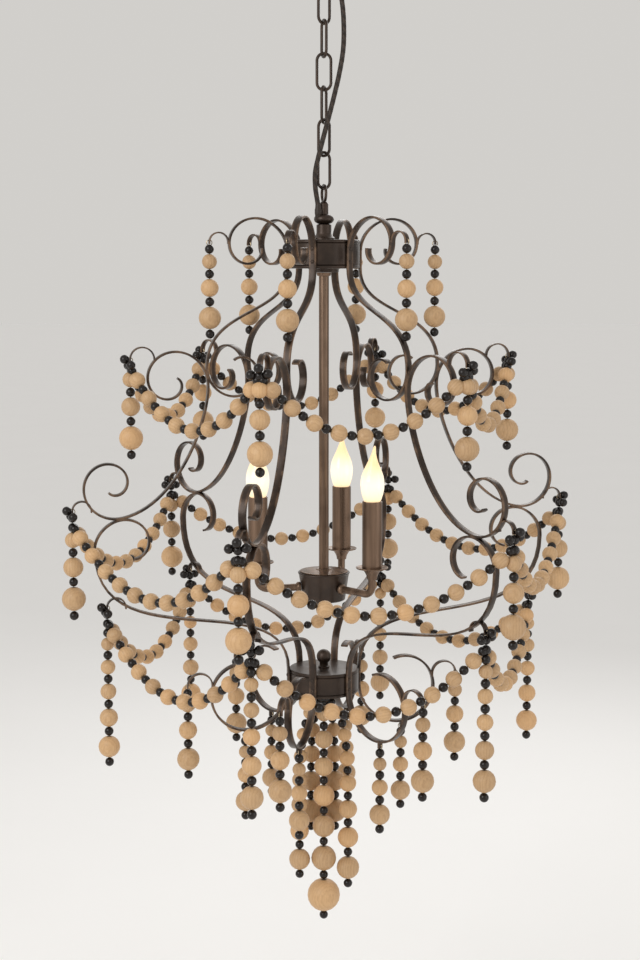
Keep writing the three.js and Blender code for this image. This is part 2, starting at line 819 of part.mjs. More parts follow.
armAngles.forEach((angle, i) => {
  addPiece(`crown_drop_${i + 1}`, dropString(crownDropBeads, crownTip), 'wood', angle);
  addPiece(`basket_drop_${i + 1}`, dropString(basketDropBeads, basketTip), 'wood', angle);
  addPiece(`inner_drop_${i + 1}`, dropString(innerDropBeads, lugTip), 'wood', angle);
});
addPiece('tassel', tassel(), 'wood');

export default chandelier;
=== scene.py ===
import math
import random

import bpy
from bpy.props import FloatProperty, FloatVectorProperty, IntProperty, PointerProperty
from mathutils import Matrix, Vector


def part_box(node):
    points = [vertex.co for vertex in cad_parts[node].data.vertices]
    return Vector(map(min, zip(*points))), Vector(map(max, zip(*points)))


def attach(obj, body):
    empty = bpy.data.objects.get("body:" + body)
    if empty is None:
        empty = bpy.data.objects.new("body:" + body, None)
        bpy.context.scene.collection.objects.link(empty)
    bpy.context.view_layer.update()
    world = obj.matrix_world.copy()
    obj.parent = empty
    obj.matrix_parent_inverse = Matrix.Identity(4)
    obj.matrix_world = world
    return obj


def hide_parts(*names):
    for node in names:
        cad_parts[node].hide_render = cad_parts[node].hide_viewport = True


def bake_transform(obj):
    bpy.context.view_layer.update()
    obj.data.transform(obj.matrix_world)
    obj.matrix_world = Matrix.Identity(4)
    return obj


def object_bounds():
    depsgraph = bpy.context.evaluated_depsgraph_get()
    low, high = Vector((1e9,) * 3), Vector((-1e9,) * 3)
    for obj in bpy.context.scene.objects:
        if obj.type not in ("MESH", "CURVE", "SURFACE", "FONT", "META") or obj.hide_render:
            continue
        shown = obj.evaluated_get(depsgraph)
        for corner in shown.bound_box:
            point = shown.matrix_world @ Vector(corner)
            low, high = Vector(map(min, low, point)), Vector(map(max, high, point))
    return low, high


bl_info = {
    "name": "Beaded Chandelier",
    "version": (1, 0, 0),
    "blender": (4, 5, 0),
    "location": "View3D > Sidebar > Chandelier",
    "description": "Builds a six-armed scroll chandelier hung with wooden beads on its CAD frame",
    "category": "Object",
}

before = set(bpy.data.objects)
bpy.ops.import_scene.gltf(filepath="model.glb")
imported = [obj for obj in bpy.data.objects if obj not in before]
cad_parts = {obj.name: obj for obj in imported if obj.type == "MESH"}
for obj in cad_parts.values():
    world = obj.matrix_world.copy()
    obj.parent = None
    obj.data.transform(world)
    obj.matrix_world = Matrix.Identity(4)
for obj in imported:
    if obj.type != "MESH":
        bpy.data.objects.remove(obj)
CAD_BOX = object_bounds()

UP = Vector((0, 0, 1))
ACROSS = Vector((0, 1, 0))
DOWNWARD = math.radians(-90)

# Places down the axis, from the CAD nodes
CANOPY_LOW, CANOPY_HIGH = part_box("ceiling_canopy")
LOOP_LOW, LOOP_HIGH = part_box("canopy_loop")
NECK_LOW, NECK_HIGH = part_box("neck_loop")
HUB_LOW, HUB_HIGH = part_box("upper_hub")
TUBE_LOW, TUBE_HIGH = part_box("centre_tube")
COVER_LOW, COVER_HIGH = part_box("cup_cover")
CUP_LOW, CUP_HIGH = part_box("lamp_cup")
PAN_LOW, PAN_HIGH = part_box("drip_pan_1")
SLEEVE_LOW, SLEEVE_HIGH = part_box("candle_sleeve_1")
HOLDER_LOW, HOLDER_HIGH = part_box("lampholder_1")
BULB_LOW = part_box("bulb_1")[0]
LOWER_HUB_LOW, LOWER_HUB_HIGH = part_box("lower_hub")
NUT_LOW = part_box("ball_nut")[0]
BRACKET_LOW, BRACKET_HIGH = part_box("ceiling_bracket")

# Ceiling fitting, in metres
CANOPY_RADIUS = 0.062
CANOPY_WALL = 0.0016
CANOPY_FLOOR_RADIUS = 0.024
CANOPY_LIP = 0.006
STEM_HOLE = 0.0053
LOOP_STEM_RADIUS = 0.005
LOOP_COLLAR_RADIUS = 0.011
LOOP_COLLAR_HEIGHT = 0.007
LOOP_WIRE = 0.004
LOOP_INSIDE = 0.009
BRACKET_CORNER = 0.003
BRACKET_SLOT_LENGTH = 0.018
BRACKET_SLOT_WIDTH = 0.0048
BRACKET_SLOT_REACH = 0.03

# Chain
LINK_COUNT = 6
LINK_WIDTH = 0.0225
LINK_LENGTH = 0.05135
LINK_CORNER_SHARE = .499
# Each ring and link is turned by this from the one above; the third link faces the front
CHAIN_TURN = 71
FRONT_LINK = 3

# Neck, hubs and tube
NECK_STEM_RADIUS = 0.006
NECK_BULGE_RADIUS = 0.0135
NECK_BODY_RADIUS = 0.01
NECK_FOOT_RADIUS = 0.015
NECK_STEM_LENGTH = 0.016
NECK_BULGE_HEIGHT = 0.013
NECK_RIM_HEIGHT = 0.0022
NECK_STEP = 0.0012
NECK_TAPER = 0.003
NECK_FLARE_POWER = 2.2
NECK_TUCK_SHARE = .55
NECK_TOP_SHARE = .7
FLANGE_RADIUS = 0.02
FLANGE_HEIGHT = 0.005
FLANGE_FLARE = (0.002, 0.0008)
HUB_BOTTOM = HUB_LOW.z + FLANGE_HEIGHT
HUB_RADIUS = 0.048
HUB_EDGE = 0.002
HUB_GROOVE = 0.0009
HUB_GROOVE_INSET = 2.2 * HUB_EDGE
TUBE_RADIUS = 0.00675
NUT_STACK_RADIUS = 0.006
NUT_STACK_HEIGHT = 0.005
NUT_BALL_RADIUS = 0.01
SCREW_RADIUS = 0.0026
SCREW_DOME_SHARE = .55
SCREW_HEIGHTS = (HUB_BOTTOM + .009, HUB_HIGH.z - .012, LOWER_HUB_HIGH.z - .008, LOWER_HUB_LOW.z + .011)
# Small turned steps: how far past the tube, stack or arm, and how far up
TUBE_COLLAR = [(.0001, -.0052), (.0022, -.0045), (.0036, -.0002), (.0001, -.0002)]
NUT_FOOT = [(.0018, 0), (.0018, .0016), (0, .0024)]
PAN_FOOT = [(0, 0), (.0016, .0006), (.0018, .002)]

# Lamp cup, lamp arms and pans
CUP_TOP_RADIUS = 0.0355
CUP_BOTTOM_RADIUS = 0.029
CUP_BOSS_RADIUS = 0.01
CUP_BOSS_HEIGHT = 0.009
CUP_BOSS_TIP_SHARE = .7
CUP_BOSS_STEP = 0.002
CUP_BEAD = 0.0012
COVER_RADIUS = 0.033
COVER_EDGE = 0.0007
COVER_STEP = 0.002
COVER_BOSS_RADIUS = 0.011
COVER_BOSS_STEP = (0.0006, 0.0008)
LAMP_RADIUS = 0.092
LAMP_ARM_DROP = 0.02
LAMP_ARM_TUBE = 0.005
LAMP_ELBOW_RADIUS = 0.013
LAMP_COLLAR_RADIUS = 0.0072
LAMP_COLLAR_LENGTH = 0.006
LAMP_COLLAR_SHARE = .6
PAN_RADIUS = 0.0215
PAN_WALL = 0.0018
PAN_LIP = 0.0007
PAN_CONE_RADIUS = 0.0118
PAN_CONE_HEIGHT = 0.013
PAN_CONE_POWER = 1.6
PAN_NECK = (0.002, 0.003)
SLEEVE_RADIUS = 0.0132
SLEEVE_WALL = 0.0012
SLEEVE_LIP = 0.0022
SLEEVE_BEAD = 0.0008
HOLDER_RADIUS = 0.0112
HOLDER_STEM_RADIUS = 0.005
HOLDER_BODY_HEIGHT = 0.028
HOLDER_PLAY = 0.0007
CAP_RADIUS = 0.0069
CAP_THREAD_DEPTH = 0.0005
CAP_THREAD_STEPS = 8
CAP_TURNS = 7
CAP_TIP = [(0, 0), (CAP_RADIUS * .5, 0), (CAP_RADIUS * .6, .0018)]
CAP_THREAD_LOW = 0.0025
CAP_THREAD_FREE = 0.003
CAP_SKIRT = 0.001
BULB_RADIUS = 0.016
BULB_GLASS_HEIGHT = 0.074
BULB_TIP_BEND = 0.0045
BULB_SIDES = 32
# Glass outline: share of its height, share of its widest radius
BULB_SHARES = [(0, .68), (.05, .78), (.14, .9), (.22, .97), (.31, 1), (.39, .97), (.47, .9), (.56, .74),
               (.64, .57), (.72, .41), (.79, .29), (.86, .19), (.92, .14), (.96, .11), (.985, .09), (1, .04)]
# Where up the glass it glows most, and how far from there it fades out
HEART_SHARE = .3
HEART_FADE_SHARE = .45

# Rounding of turned edges
EASE_STEPS = 4
SOFT_EDGE = 0.001
FLANGE_EDGE = 0.0012
COLLAR_EDGE = 0.0005
CUP_EDGE = 0.0022
HOLDER_EDGE = 0.0006
# The smallest step of a turned outline
HAIR = 0.0001
# Corners of a rounded outline: side, rise and where the corner's arc starts
CORNERS = ((1, -1, -90), (1, 1, 0), (-1, 1, 90), (-1, -1, 180))

# Arms: outer radius, inner radius, turn in degrees
CROWN_CURL = (0.049, 0.014, 360)
SHOULDER_CURL = (0.045, 0.016, 300)
ELBOW_CURL = (0.052, 0.01, 400)
FOOT_CURL = (0.0485, 0.011, 400)
WRIST_CURL = (0.046, 0.021, 255)
BASKET_CURL = (0.061, 0.0415, 290)
CROWN_CURL_DROP = 0.01
SHOULDER_REACH = 0.117
SHOULDER_DROP = 0.173
FOOT_REACH = 0.288
FOOT_RISE = 0.261
FOOT_HEADING = -12
ELBOW_WELD_ANGLE = -9
WRIST_WELD_ANGLE = -105
WELD_BITE = 0.001
STRIP_GAP = 0.0003
STRIP_EDGE_STEPS = 3
# The CAD strips bend in steps of 36 degrees; the true curve lies on the flats' middles
FLAT_SHARE = math.cos(math.radians(18))
SETTLE_TURN = math.radians(60)
CURL_STEP = math.radians(6)
RUN_STEPS = 26
CROWN_RUN_SHARES = (.38, .47)
MIDDLE_RUN_SHARES = (.23, .36)
LOWER_RUN_SHARES = (.5, .4)
ARM_ANGLES = [12.7 + 60 * i for i in range(6)]
LAMP_ANGLES = [314 + 120 * i for i in range(3)]

# Hooks: radius, then the angle on a curl or the share along a run
CROWN_HOOK = (0.0125, 12)
ELBOW_HOOK = (0.016, 54)
FOOT_HOOK = (0.0125, -50)
WRIST_HOOK = (0.0125, .25)
BASKET_HOOK = (0.017, 16)
HOOK_TAIL = 0.005
HOOK_STEPS = 14
HOOK_EDGE_SHARE = .3
LUG_HEIGHT = 0.009
LUG_WIDTH = 0.008
LUG_THICKNESS = 0.0025
LUG_SHARES = (0, .35, .7, 1)

# Swags: beads, how far below the hook's tip they start, black beads that lead each drop
UPPER_SWAG = (9, 0.007, 1)
MIDDLE_SWAG = (11, 0.016, 2)
LOWER_SWAG = (10, 0.016, 3)
SWAG_STEPS = 160
SAG_SHARE = math.sqrt(3 / 8)

# Knots: side, rise and reach of the bunched beads, in black beads, and how far they stray
KNOT_SHARES = ((-.86, -.4, .12), (.86, -.28, 0), (.1, .28, .58))
KNOT_GAP = 0.0005
KNOT_STRAY = 0.0008
# A black bead's sides over a wooden one's, and each ball's sides over its rows
BLACK_SIDES_SHARE = .7
WOOD_ROUNDNESS = 2.0
BLACK_ROUNDNESS = 1.7

# Strings, in bead diameters from the top down
CROWN_DROP = [.020, .024, .030]
UPPER_DROP = [.021, .026, .032]
MIDDLE_DROP = [.021, .027, .033]
LOWER_DROP = [.018, .020, .022, .025, .030]
BASKET_DROP = [.020, .025, .031]
INNER_DROP = [.018, .022, .028]
TASSEL_CENTRE = [.022, .026, .027, .031, .032, .036, .046]
TASSEL_LEFT = [.018, .018, .020, .022, .024, .027, .030]
TASSEL_RIGHT = [.018, .020, .022, .024, .026, .030, .033]
TASSEL_REAR = [.018, .021, .025, .029, .033]
TASSEL_SIDES = [(186, TASSEL_LEFT), (-4, TASSEL_RIGHT), (62, TASSEL_REAR), (122, TASSEL_REAR)]
TASSEL_KNOT_RADIUS = 0.009
TASSEL_KNOT_BEADS = 5
TASSEL_KNOT_TURN = 20
TASSEL_KNOT_SINK_SHARE = .3
TASSEL_ROOT_RADIUS = 0.005
TASSEL_SPREAD = 0.034
TASSEL_SPREAD_DEPTH = 0.06
AIM_STEP = 0.0005
THREAD_SIDES = 6
LOOP_STEPS = 20
LOOP_WIRE_RADIUS = 0.0006
LOOP_REACH = 0.0036
LOOP_LIFT_SHARE = .6

# Supply cable: the CAD route, listed point by point
CABLE_ROUTE = [(.016, 0, -.0603), (.016, 0, -.072), (.019, -.004, -.095), (.024, -.008, -.12),
               (.026, -.01, -.15), (.025, -.012, -.18), (.02, -.014, -.21), (.013, -.016, -.24),
               (.006, -.017, -.267), (-.001, -.0165, -.293), (-.007, -.015, -.316), (-.0115, -.012, -.337),
               (-.0115, -.009, -.356), (-.009, -.0074, -.373), (-.0076, -.0066, -.384),
               (-.007434, -.006462, -.3909)]
CABLE_POINTS_A_SPAN = 8
CABLE_SIDES = 16
CABLE_TWIST = 0.011
GLAND_RADIUS = 0.0049
GLAND_HEIGHT = 0.013
GLAND_ROOT = 0.0065
# Gland outline: share of its radius, share of its height
GLAND_SHARES = [(1, 0), (1, .4), (.88, .55), (.8, 1)]
GLAND_ROOT_SHARE = .72

# Growth rings of the wood: radians a millimetre, and how far they wander
RING_PACE = 1.7
RING_WANDER = 9

# Camera: the photograph's focal length over its height, and its horizon and axis in pixels
IMAGE_WIDTH = 640
IMAGE_HEIGHT = 960
FOCAL_PIXELS = 1647
HORIZON_PIXEL = 269.7
AXIS_PIXEL = 323.9
SENSOR = 36
HORIZON_DROP = 0.0395
SEED = 7


def amount(name, description, default, **limits):
    return FloatProperty(name=name, description=description, default=default, min=0, **limits)


def length(name, description, default):
    return amount(name, description, default, unit="LENGTH", precision=4)


def colour(name, description, default):
    return FloatVectorProperty(name=name, description=description, default=default, min=0, max=1,
                               subtype="COLOR", size=3)


class ChandelierSizes(bpy.types.PropertyGroup):
    """Sizes of the metal strips, beads and cable"""

    strip_width: length("Strip Width", "Width of the scroll strips", 0.01)
    strip_thickness: length("Strip Thickness", "Thickness of the scroll strips", 0.003)
    strip_edge: length("Strip Edge", "Rounding of the strips' long edges", 0.0007)
    hook_width: length("Hook Width", "Width of the hooks", 0.008)
    hook_thickness: length("Hook Thickness", "Thickness of the hooks", 0.002)
    link_wire: length("Link Wire", "Diameter of the chain's wire", 0.004)
    cable_diameter: length("Cable Diameter", "Diameter of the supply cable", 0.0065)
    black_bead: length("Black Bead", "Diameter of the black beads", 0.0125)
    swag_bead: length("Swag Bead", "Diameter of the wooden beads on the swags", 0.0215)
    bead_play: amount("Bead Play", "How far bead sizes vary", 0.035, max=0.2)
    bead_sides: IntProperty(name="Bead Sides", description="Sides of a wooden bead",
                            default=20, min=8, max=48)
    thread: length("Thread", "Radius of the bead thread", 0.0006)


class ChandelierColours(bpy.types.PropertyGroup):
    """Colours of the finishes"""

    bronze: colour("Bronze", "Dark bronze paint", (0.040, 0.025, 0.017))
    bronze_worn: colour("Worn Bronze", "Bronze where the paint is thin", (0.20, 0.125, 0.078))
    tube: colour("Tube", "Lighter bronze of the centre tube and sleeves", (0.215, 0.142, 0.098))
    steel: colour("Steel", "Zinc-plated bracket", (0.52, 0.51, 0.49))
    wood: colour("Wood", "Light wood of the beads", (0.62, 0.41, 0.22))
    wood_grain: colour("Wood Grain", "Dark streaks of the wood", (0.38, 0.215, 0.10))
    black: colour("Black", "Glossy black beads", (0.010, 0.0075, 0.0065))
    cable: colour("Cable", "Brown cable jacket", (0.028, 0.018, 0.012))
    holder: colour("Holder", "White moulded lampholder", (0.72, 0.70, 0.65))
    brass: colour("Brass", "Screw cap and wire loops", (0.50, 0.40, 0.26))
    glow: colour("Glow", "Warm light of the lit bulbs", (1.0, 0.66, 0.32))


class ChandelierStage(bpy.types.PropertyGroup):
    """Camera, floor and lights"""

    camera_distance: length("Camera Distance", "From the camera to the chandelier's axis", 2.224)
    floor_drop: length("Floor Drop", "From the lowest bead to the floor", 0.3)
    floor_size: length("Floor Size", "Side of the floor", 70)
    floor_colour: colour("Floor Colour", "Pale floor", (0.95, 0.94, 0.922))
    backdrop: colour("Backdrop", "Pale background", (0.64, 0.625, 0.60))
    sky_strength: amount("Sky Strength", "Soft light from all round", 0.68)
    key_power: amount("Key Power", "Main soft light", 24, unit="POWER")
    fill_power: amount("Fill Power", "Side fill light", 8, unit="POWER")
    rim_power: amount("Rim Power", "Light from behind", 15, unit="POWER")
    glow_strength: amount("Glow Strength", "Brightness of the bulbs", 1.05)


# Nodes and materials


class Nodes:
    """Short calls for the nodes of a material, a world or a geometry tree."""

    def __init__(self, tree):
        self.nodes = tree.nodes
        self.links = tree.links

    def set(self, socket, value):
        if isinstance(value, bpy.types.NodeSocket):
            self.links.new(value, socket)
        else:
            socket.default_value = value

    def fill(self, made, *values, **named):
        """Sets a node's inputs, in order or by name, with _ for a space."""
        for socket, value in zip(made.inputs, values):
            self.set(socket, value)
        for key, value in named.items():
            self.set(made.inputs[key.replace("_", " ")], value)
        return made

    def node(self, kind, settings=None, *values, **named):
        made = self.nodes.new(kind)
        for key, value in (settings or {}).items():
            setattr(made, key, value)
        return self.fill(made, *values, **named)

    def maths(self, operation, *values, kind="ShaderNodeMath"):
        return self.node(kind, {"operation": operation}, *values).outputs[0]


class Finish(Nodes):
    """A material with one Principled shader, and short calls for its patterns."""

    def __init__(self, name):
        self.material = bpy.data.materials.new(name)
        self.material.use_nodes = True
        super().__init__(self.material.node_tree)
        self.shader = self.nodes["Principled BSDF"]

    def shade(self, **named):
        self.fill(self.shader, **named)

    def place(self, scale=(1, 1, 1), source=None):
        """Object coordinates, or another vector, stretched."""
        vector = source or self.node("ShaderNodeTexCoord").outputs["Object"]
        return self.node("ShaderNodeMapping", Vector=vector, Scale=scale).outputs["Vector"]

    def noise(self, scale, detail=3.0, roughness=0.5, vector=None):
        vector = vector or self.place()
        made = self.node("ShaderNodeTexNoise", Vector=vector, Scale=scale, Detail=detail, Roughness=roughness)
        return made.outputs["Fac"]

    def between(self, value, low, high, to_low=0.0, to_high=1.0):
        made = self.node("ShaderNodeMapRange", {"interpolation_type": "SMOOTHSTEP"}, Value=value,
                         From_Min=low, From_Max=high, To_Min=to_low, To_Max=to_high)
        return made.outputs["Result"]

    def mix(self, factor, first, second, blend="MIX"):
        made = self.node("ShaderNodeMix", {"data_type": "RGBA", "blend_type": blend}, factor)
        self.set(made.inputs[6], first)
        self.set(made.inputs[7], second)
        return made.outputs[2]

    def attribute(self, name, output="Fac"):
        return self.node("ShaderNodeAttribute", {"attribute_name": name}).outputs[output]

    def bump(self, height, strength, distance):
        made = self.node("ShaderNodeBump", Strength=strength, Distance=distance, Height=height)
        self.shade(Normal=made.outputs["Normal"])


def full(tint, share=1.0):
    """A colour socket's four values, from a tint and a share of its brightness."""
    return (tint[0] * share, tint[1] * share, tint[2] * share, 1)


def speckled(f, tint, grain, levels, spread, bump, **more):
    """A finish whose brightness, roughness and bump follow one noise."""
    speck = f.noise(*grain)
    f.shade(Base_Color=f.mix(speck, full(tint, levels[0]), full(tint, levels[1])))
    f.shade(Roughness=f.between(speck, *spread), **more)
    f.bump(speck, *bump)


def build_bronze(f, colours):
    cloud = f.noise(38, 5, .6)
    worn = f.maths("MULTIPLY", f.between(f.attribute("wear"), .35, 1), f.between(cloud, .38, .66))
    base = f.mix(f.between(cloud, .3, .75), full(colours.bronze, .75), full(colours.bronze, 1.5))
    f.shade(Base_Color=f.mix(worn, base, full(colours.bronze_worn)))
    f.shade(Metallic=.72, Roughness=f.between(cloud, .25, .75, .3, .48), Specular_IOR_Level=.5)
    f.shade(Coat_Weight=.3, Coat_Roughness=.28)
    f.bump(cloud, .3, .0005)


def build_tube(f, colours):
    streak = f.noise(90, 4, .55, f.place((1, 1, .04)))
    cloud = f.noise(22, 3, .5)
    base = f.mix(f.between(streak, .32, .7), full(colours.tube, .62), full(colours.tube, 1.25))
    f.shade(Base_Color=f.mix(f.between(cloud, .45, .8, 0, .6), base, full(colours.bronze, 1.6)))
    f.shade(Metallic=.85, Roughness=f.between(streak, .3, .7, .26, .42), Specular_IOR_Level=.5)
    f.bump(streak, .12, .0003)


def build_steel(f, colours):
    speckled(f, colours.steel, (160, 2, .5), (.8, 1.15), (.3, .7, .28, .5), (.1, .0002), Metallic=1)


def build_wood(f, colours):
    """Wood in each bead's own millimetres, moved by its tone so that no two beads match."""
    tone = f.attribute("tone")
    grain = f.attribute("grain", "Vector")
    radius = f.maths("MULTIPLY", f.attribute("bead_radius"), 1000)
    local = f.node("ShaderNodeVectorMath", {"operation": "SCALE"}, grain, Scale=radius).outputs[0]
    reaches = [f.maths("MULTIPLY", tone, reach) for reach in (61.0, 37.0, 83.0)]
    shift = f.node("ShaderNodeCombineXYZ", None, *reaches).outputs[0]
    moved = f.maths("ADD", local, shift, kind="ShaderNodeVectorMath")
    band = f.noise(.5, 3, .55, f.place((1, 1, .16), moved))
    fibre = f.noise(3.4, 4, .6, f.place((1, 1, .07), moved))
    both = f.maths("ADD", f.maths("MULTIPLY", band, .5), f.maths("MULTIPLY", fibre, .5))
    across = f.maths("MULTIPLY", f.node("ShaderNodeSeparateXYZ", None, moved).outputs["X"], RING_PACE)
    wander = f.maths("MULTIPLY", band, RING_WANDER)
    rings = f.between(f.maths("SINE", f.maths("ADD", across, wander)), .1, 1)
    figure = f.maths("MULTIPLY", f.between(both, .4, .64), .3)
    streaks = f.maths("ADD", figure, f.maths("MULTIPLY", rings, .24))
    base = f.mix(streaks, full(colours.wood), full(colours.wood_grain))
    warm = f.mix(f.between(tone, .55, 1, 0, .35), base, full((.60, .33, .14)))
    tint = f.mix(f.between(tone, 0, 1), full((.84, .82, .80)), full((1.06, 1.04, 1.0)))
    shade = f.mix(1.0, warm, tint, "MULTIPLY")
    height = f.maths("ABSOLUTE", f.node("ShaderNodeSeparateXYZ", None, grain).outputs["Z"])
    f.shade(Base_Color=f.mix(f.between(height, .955, .985), shade, full((.06, .035, .02))))
    f.shade(Roughness=f.between(fibre, .3, .7, .46, .66), Specular_IOR_Level=.45)
    f.shade(Coat_Weight=.16, Coat_Roughness=.3)
    f.bump(fibre, .16, .0002)


def build_black(f, colours):
    speckled(f, colours.black, (260, 3, .55), (.6, 1.8), (.3, .75, .09, .18), (.05, .0003),
             Specular_IOR_Level=.34)


def build_thread(f, colours):
    twist = f.noise(900, 2, .5)
    f.shade(Base_Color=f.mix(twist, full(colours.black), full(colours.bronze, 1.8)), Roughness=.7)
    f.bump(twist, .4, .0003)


def build_wire(f, colours):
    speckled(f, colours.brass, (300, 3, .5), (.6, 1.1), (.3, .7, .2, .4), (.1, .0002), Metallic=1)


def build_cable(f, colours):
    twist = f.between(f.maths("SINE", f.attribute("twist")), -.9, .9)
    dust = f.noise(120, 4, .6)
    # painted shade in the twist's grooves and painted light on its ridges, following the same twist as the
    # bump
    base = f.mix(twist, full(colours.cable, .55), full(colours.cable, 1.5))
    f.shade(Base_Color=f.mix(f.between(dust, .55, .8, 0, .4), base, full(colours.cable, 2.6)))
    f.shade(Roughness=f.between(dust, .3, .7, .42, .62), Specular_IOR_Level=.4)
    f.bump(twist, .7, .0008)


def build_holder(f, colours):
    speckled(f, colours.holder, (70, 3, .5), (.93, 1.05), (.3, .7, .38, .5), (.08, .0003))


def build_glass(f, colours):
    lit = f.mix(f.between(f.attribute("heart"), 0, 1), full(colours.glow), (1, .9, .7, 1))
    swirl = f.noise(60, 2, .5)
    strength = bpy.context.scene.chandelier_stage.glow_strength
    f.shade(Base_Color=f.mix(swirl, full((.42, .36, .26)), full((.36, .3, .2))), Roughness=.12)
    f.shade(Coat_Weight=.6, Coat_Roughness=.05, Emission_Color=lit, Emission_Strength=strength)
    f.bump(swirl, .05, .0003)


BRONZE = "dark bronze paint"
TUBE = "satin bronze tube"
STEEL = "zinc-plated steel"
WOOD = "turned bead wood"
BLACK = "glossy black bead"
THREAD = "bead thread"
WIRE = "brass wire"
CABLE = "brown cable jacket"
HOLDER = "white moulded holder"
GLASS = "lit bulb glass"
BUILDERS = {BRONZE: build_bronze, TUBE: build_tube, STEEL: build_steel, WOOD: build_wood, BLACK: build_black,
            THREAD: build_thread, WIRE: build_wire, CABLE: build_cable, HOLDER: build_holder,
            GLASS: build_glass}


def material(name):
    """The named material, built on its first use."""
    found = bpy.data.materials.get(name)
    if found is None:
        made = Finish(name)
        BUILDERS[name](made, bpy.context.scene.chandelier_colours)
        found = made.material
    return found


# Numbers and points


def shares(steps):
    """From 0 to 1 in equal steps."""
    return [i / steps for i in range(steps + 1)]


def mixed(first, second, share):
    return first + (second - first) * share


def bowed(start, middle, end, t):
    """A point of the curve from start to end that bends toward the middle."""
    return start * (1 - t) ** 2 + middle * (2 * t * (1 - t)) + end * t ** 2


def toward(angle):
    """The direction of an angle in the arm's plane."""
    return Vector((math.cos(angle), math.sin(angle)))


def turned_about(point, degrees):
    return Matrix.Rotation(math.radians(degrees), 3, "Z") @ point


def outward(reach, height, degrees):
    """The point at this reach and height in the direction of an angle about Z."""
    return turned_about(Vector((reach, 0, height)), degrees)


# Mesh helpers


def signed_volume(points, faces):
    """Six times the volume of a closed shape, negative when its faces point in."""
    total = 0.0
    for face in faces:
        first = points[face[0]]
        for j in range(1, len(face) - 1):
            total += first.dot(points[face[j]].cross(points[face[j + 1]]))
    return total


class Shape:
    """The closed bodies of one piece, with a finish for each face and values for each point."""

    def __init__(self, *finishes):
        self.finishes = finishes
        self.points = []
        self.faces = []
        self.kinds = []
        self.values = {}

    def add(self, body, kind=0, turn=0.0, offset=(0, 0, 0), **values):
        """Adds (points, faces), turned about Z and moved, with its faces pointing out."""
        points, faces = body
        rotation = Matrix.Rotation(math.radians(turn), 3, "Z")
        placed = [rotation @ point + Vector(offset) for point in points]
        if signed_volume(placed, faces) < 0:
            faces = [tuple(reversed(face)) for face in faces]
        start = len(self.points)
        for name, series in values.items():
            self.values.setdefault(name, {}).update(enumerate(series, start))
        self.points += placed
        self.faces += [tuple(start + i for i in face) for face in faces]
        self.kinds += [kind] * len(faces)
        return self

    def piece(self, name, sharp=35):
        """Makes the object, smooth but for edges sharper than an angle."""
        mesh = bpy.data.meshes.new(name)
        mesh.from_pydata(self.points, [], self.faces)
        mesh.polygons.foreach_set("use_smooth", [True] * len(mesh.polygons))
        mesh.polygons.foreach_set("material_index", self.kinds)
        for key, kept in self.values.items():
            layer = mesh.attributes.new(key, "FLOAT", "POINT")
            layer.data.foreach_set("value", [kept.get(i, 0.0) for i in range(len(self.points))])
        for label in self.finishes:
            mesh.materials.append(material(label))
        mesh.set_sharp_from_angle(angle=math.radians(sharp))
        mesh.validate()
        return new_object(name, mesh)


def new_object(name, data):
    made = bpy.data.objects.new(name, data)
    bpy.context.scene.collection.objects.link(made)
    return made


def baked(carrier):
    """The carrier's final mesh, and the carrier goes."""
    graph = bpy.context.evaluated_depsgraph_get()
    final = carrier.evaluated_get(graph)
    mesh = bpy.data.meshes.new_from_object(final, preserve_all_data_layers=True, depsgraph=graph)
    bpy.data.objects.remove(carrier)
    return mesh


def point_mesh(name, points, along, **layers):
    """Loose points, each with a direction and the values of the layers."""
    mesh = bpy.data.meshes.new(name)
    mesh.from_pydata(points, [], [])
    for key, (kind, values) in layers.items():
        mesh.attributes.new(key, kind, "POINT").data.foreach_set("value", values)
    flat = [number for vector in along for number in vector]
    mesh.attributes.new("along", "FLOAT_VECTOR", "POINT").data.foreach_set("vector", flat)
    return mesh


def settle(piece, body, slot, *nodes):
    """Rides on its body in place of its CAD nodes, which it hides; the slot is not used."""
    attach(piece, body)
    if nodes:
        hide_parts(*nodes)


def turned(name, label, outline, slot, *nodes, sides=48, sharp=35, offset=(0, 0, 0), body="hung_lamp"):
    """A turned piece in one finish, settled on its body."""
    piece = Shape(label).add(lathe(outline, sides), offset=offset).piece(name, sharp)
    settle(piece, body, slot, *nodes)


def circle(radius, sides):
    turns = [2 * math.pi * j / sides for j in range(sides)]
    return [(radius * math.cos(turn), radius * math.sin(turn)) for turn in turns]


def arc(centre, radius, start, end, steps):
    """Points of an arc in the (radius, height) plane, angles in degrees."""
    turns = [math.radians(start + (end - start) * i / steps) for i in range(steps + 1)]
    return [(centre[0] + radius * math.cos(turn), centre[1] + radius * math.sin(turn)) for turn in turns]


def lathe(outline, sides):
    """A turned body from (radius, height) points, listed round its outline."""
    points = []
    rings = []
    for radius, height in outline:
        start = len(points)
        if radius < 1e-7:
            points.append(Vector((0, 0, height)))
            rings.append([start] * sides)
        else:
            points += [Vector((x, y, height)) for x, y in circle(radius, sides)]
            rings.append(range(start, start + sides))
    if outline[0][0] > 0:
        rings.append(rings[0])
    faces = []
    for low, high in zip(rings, rings[1:]):
        for j in range(sides):
            k = (j + 1) % sides
            # a point on the axis counts once, and a line on the axis makes no face
            face = tuple(dict.fromkeys((low[j], low[k], high[k], high[j])))
            if len(face) > 2:
                faces.append(face)
    return points, faces


def eased(outline, radius):
    """The outline with each corner off the axis rounded."""
    made = []
    last = len(outline) - 1
    for i, (r, z) in enumerate(outline):
        here = Vector((r, z))
        if r < 1e-7 or i in (0, last):
            made.append((r, z))
            continue
        before = Vector(outline[i - 1]) - here
        after = Vector(outline[i + 1]) - here
        reach = min(radius, before.length * .45, after.length * .45)
        start = here + before.normalized() * reach
        end = here + after.normalized() * reach
        made += [tuple(bowed(start, here, end, t)) for t in shares(EASE_STEPS)]
    return made


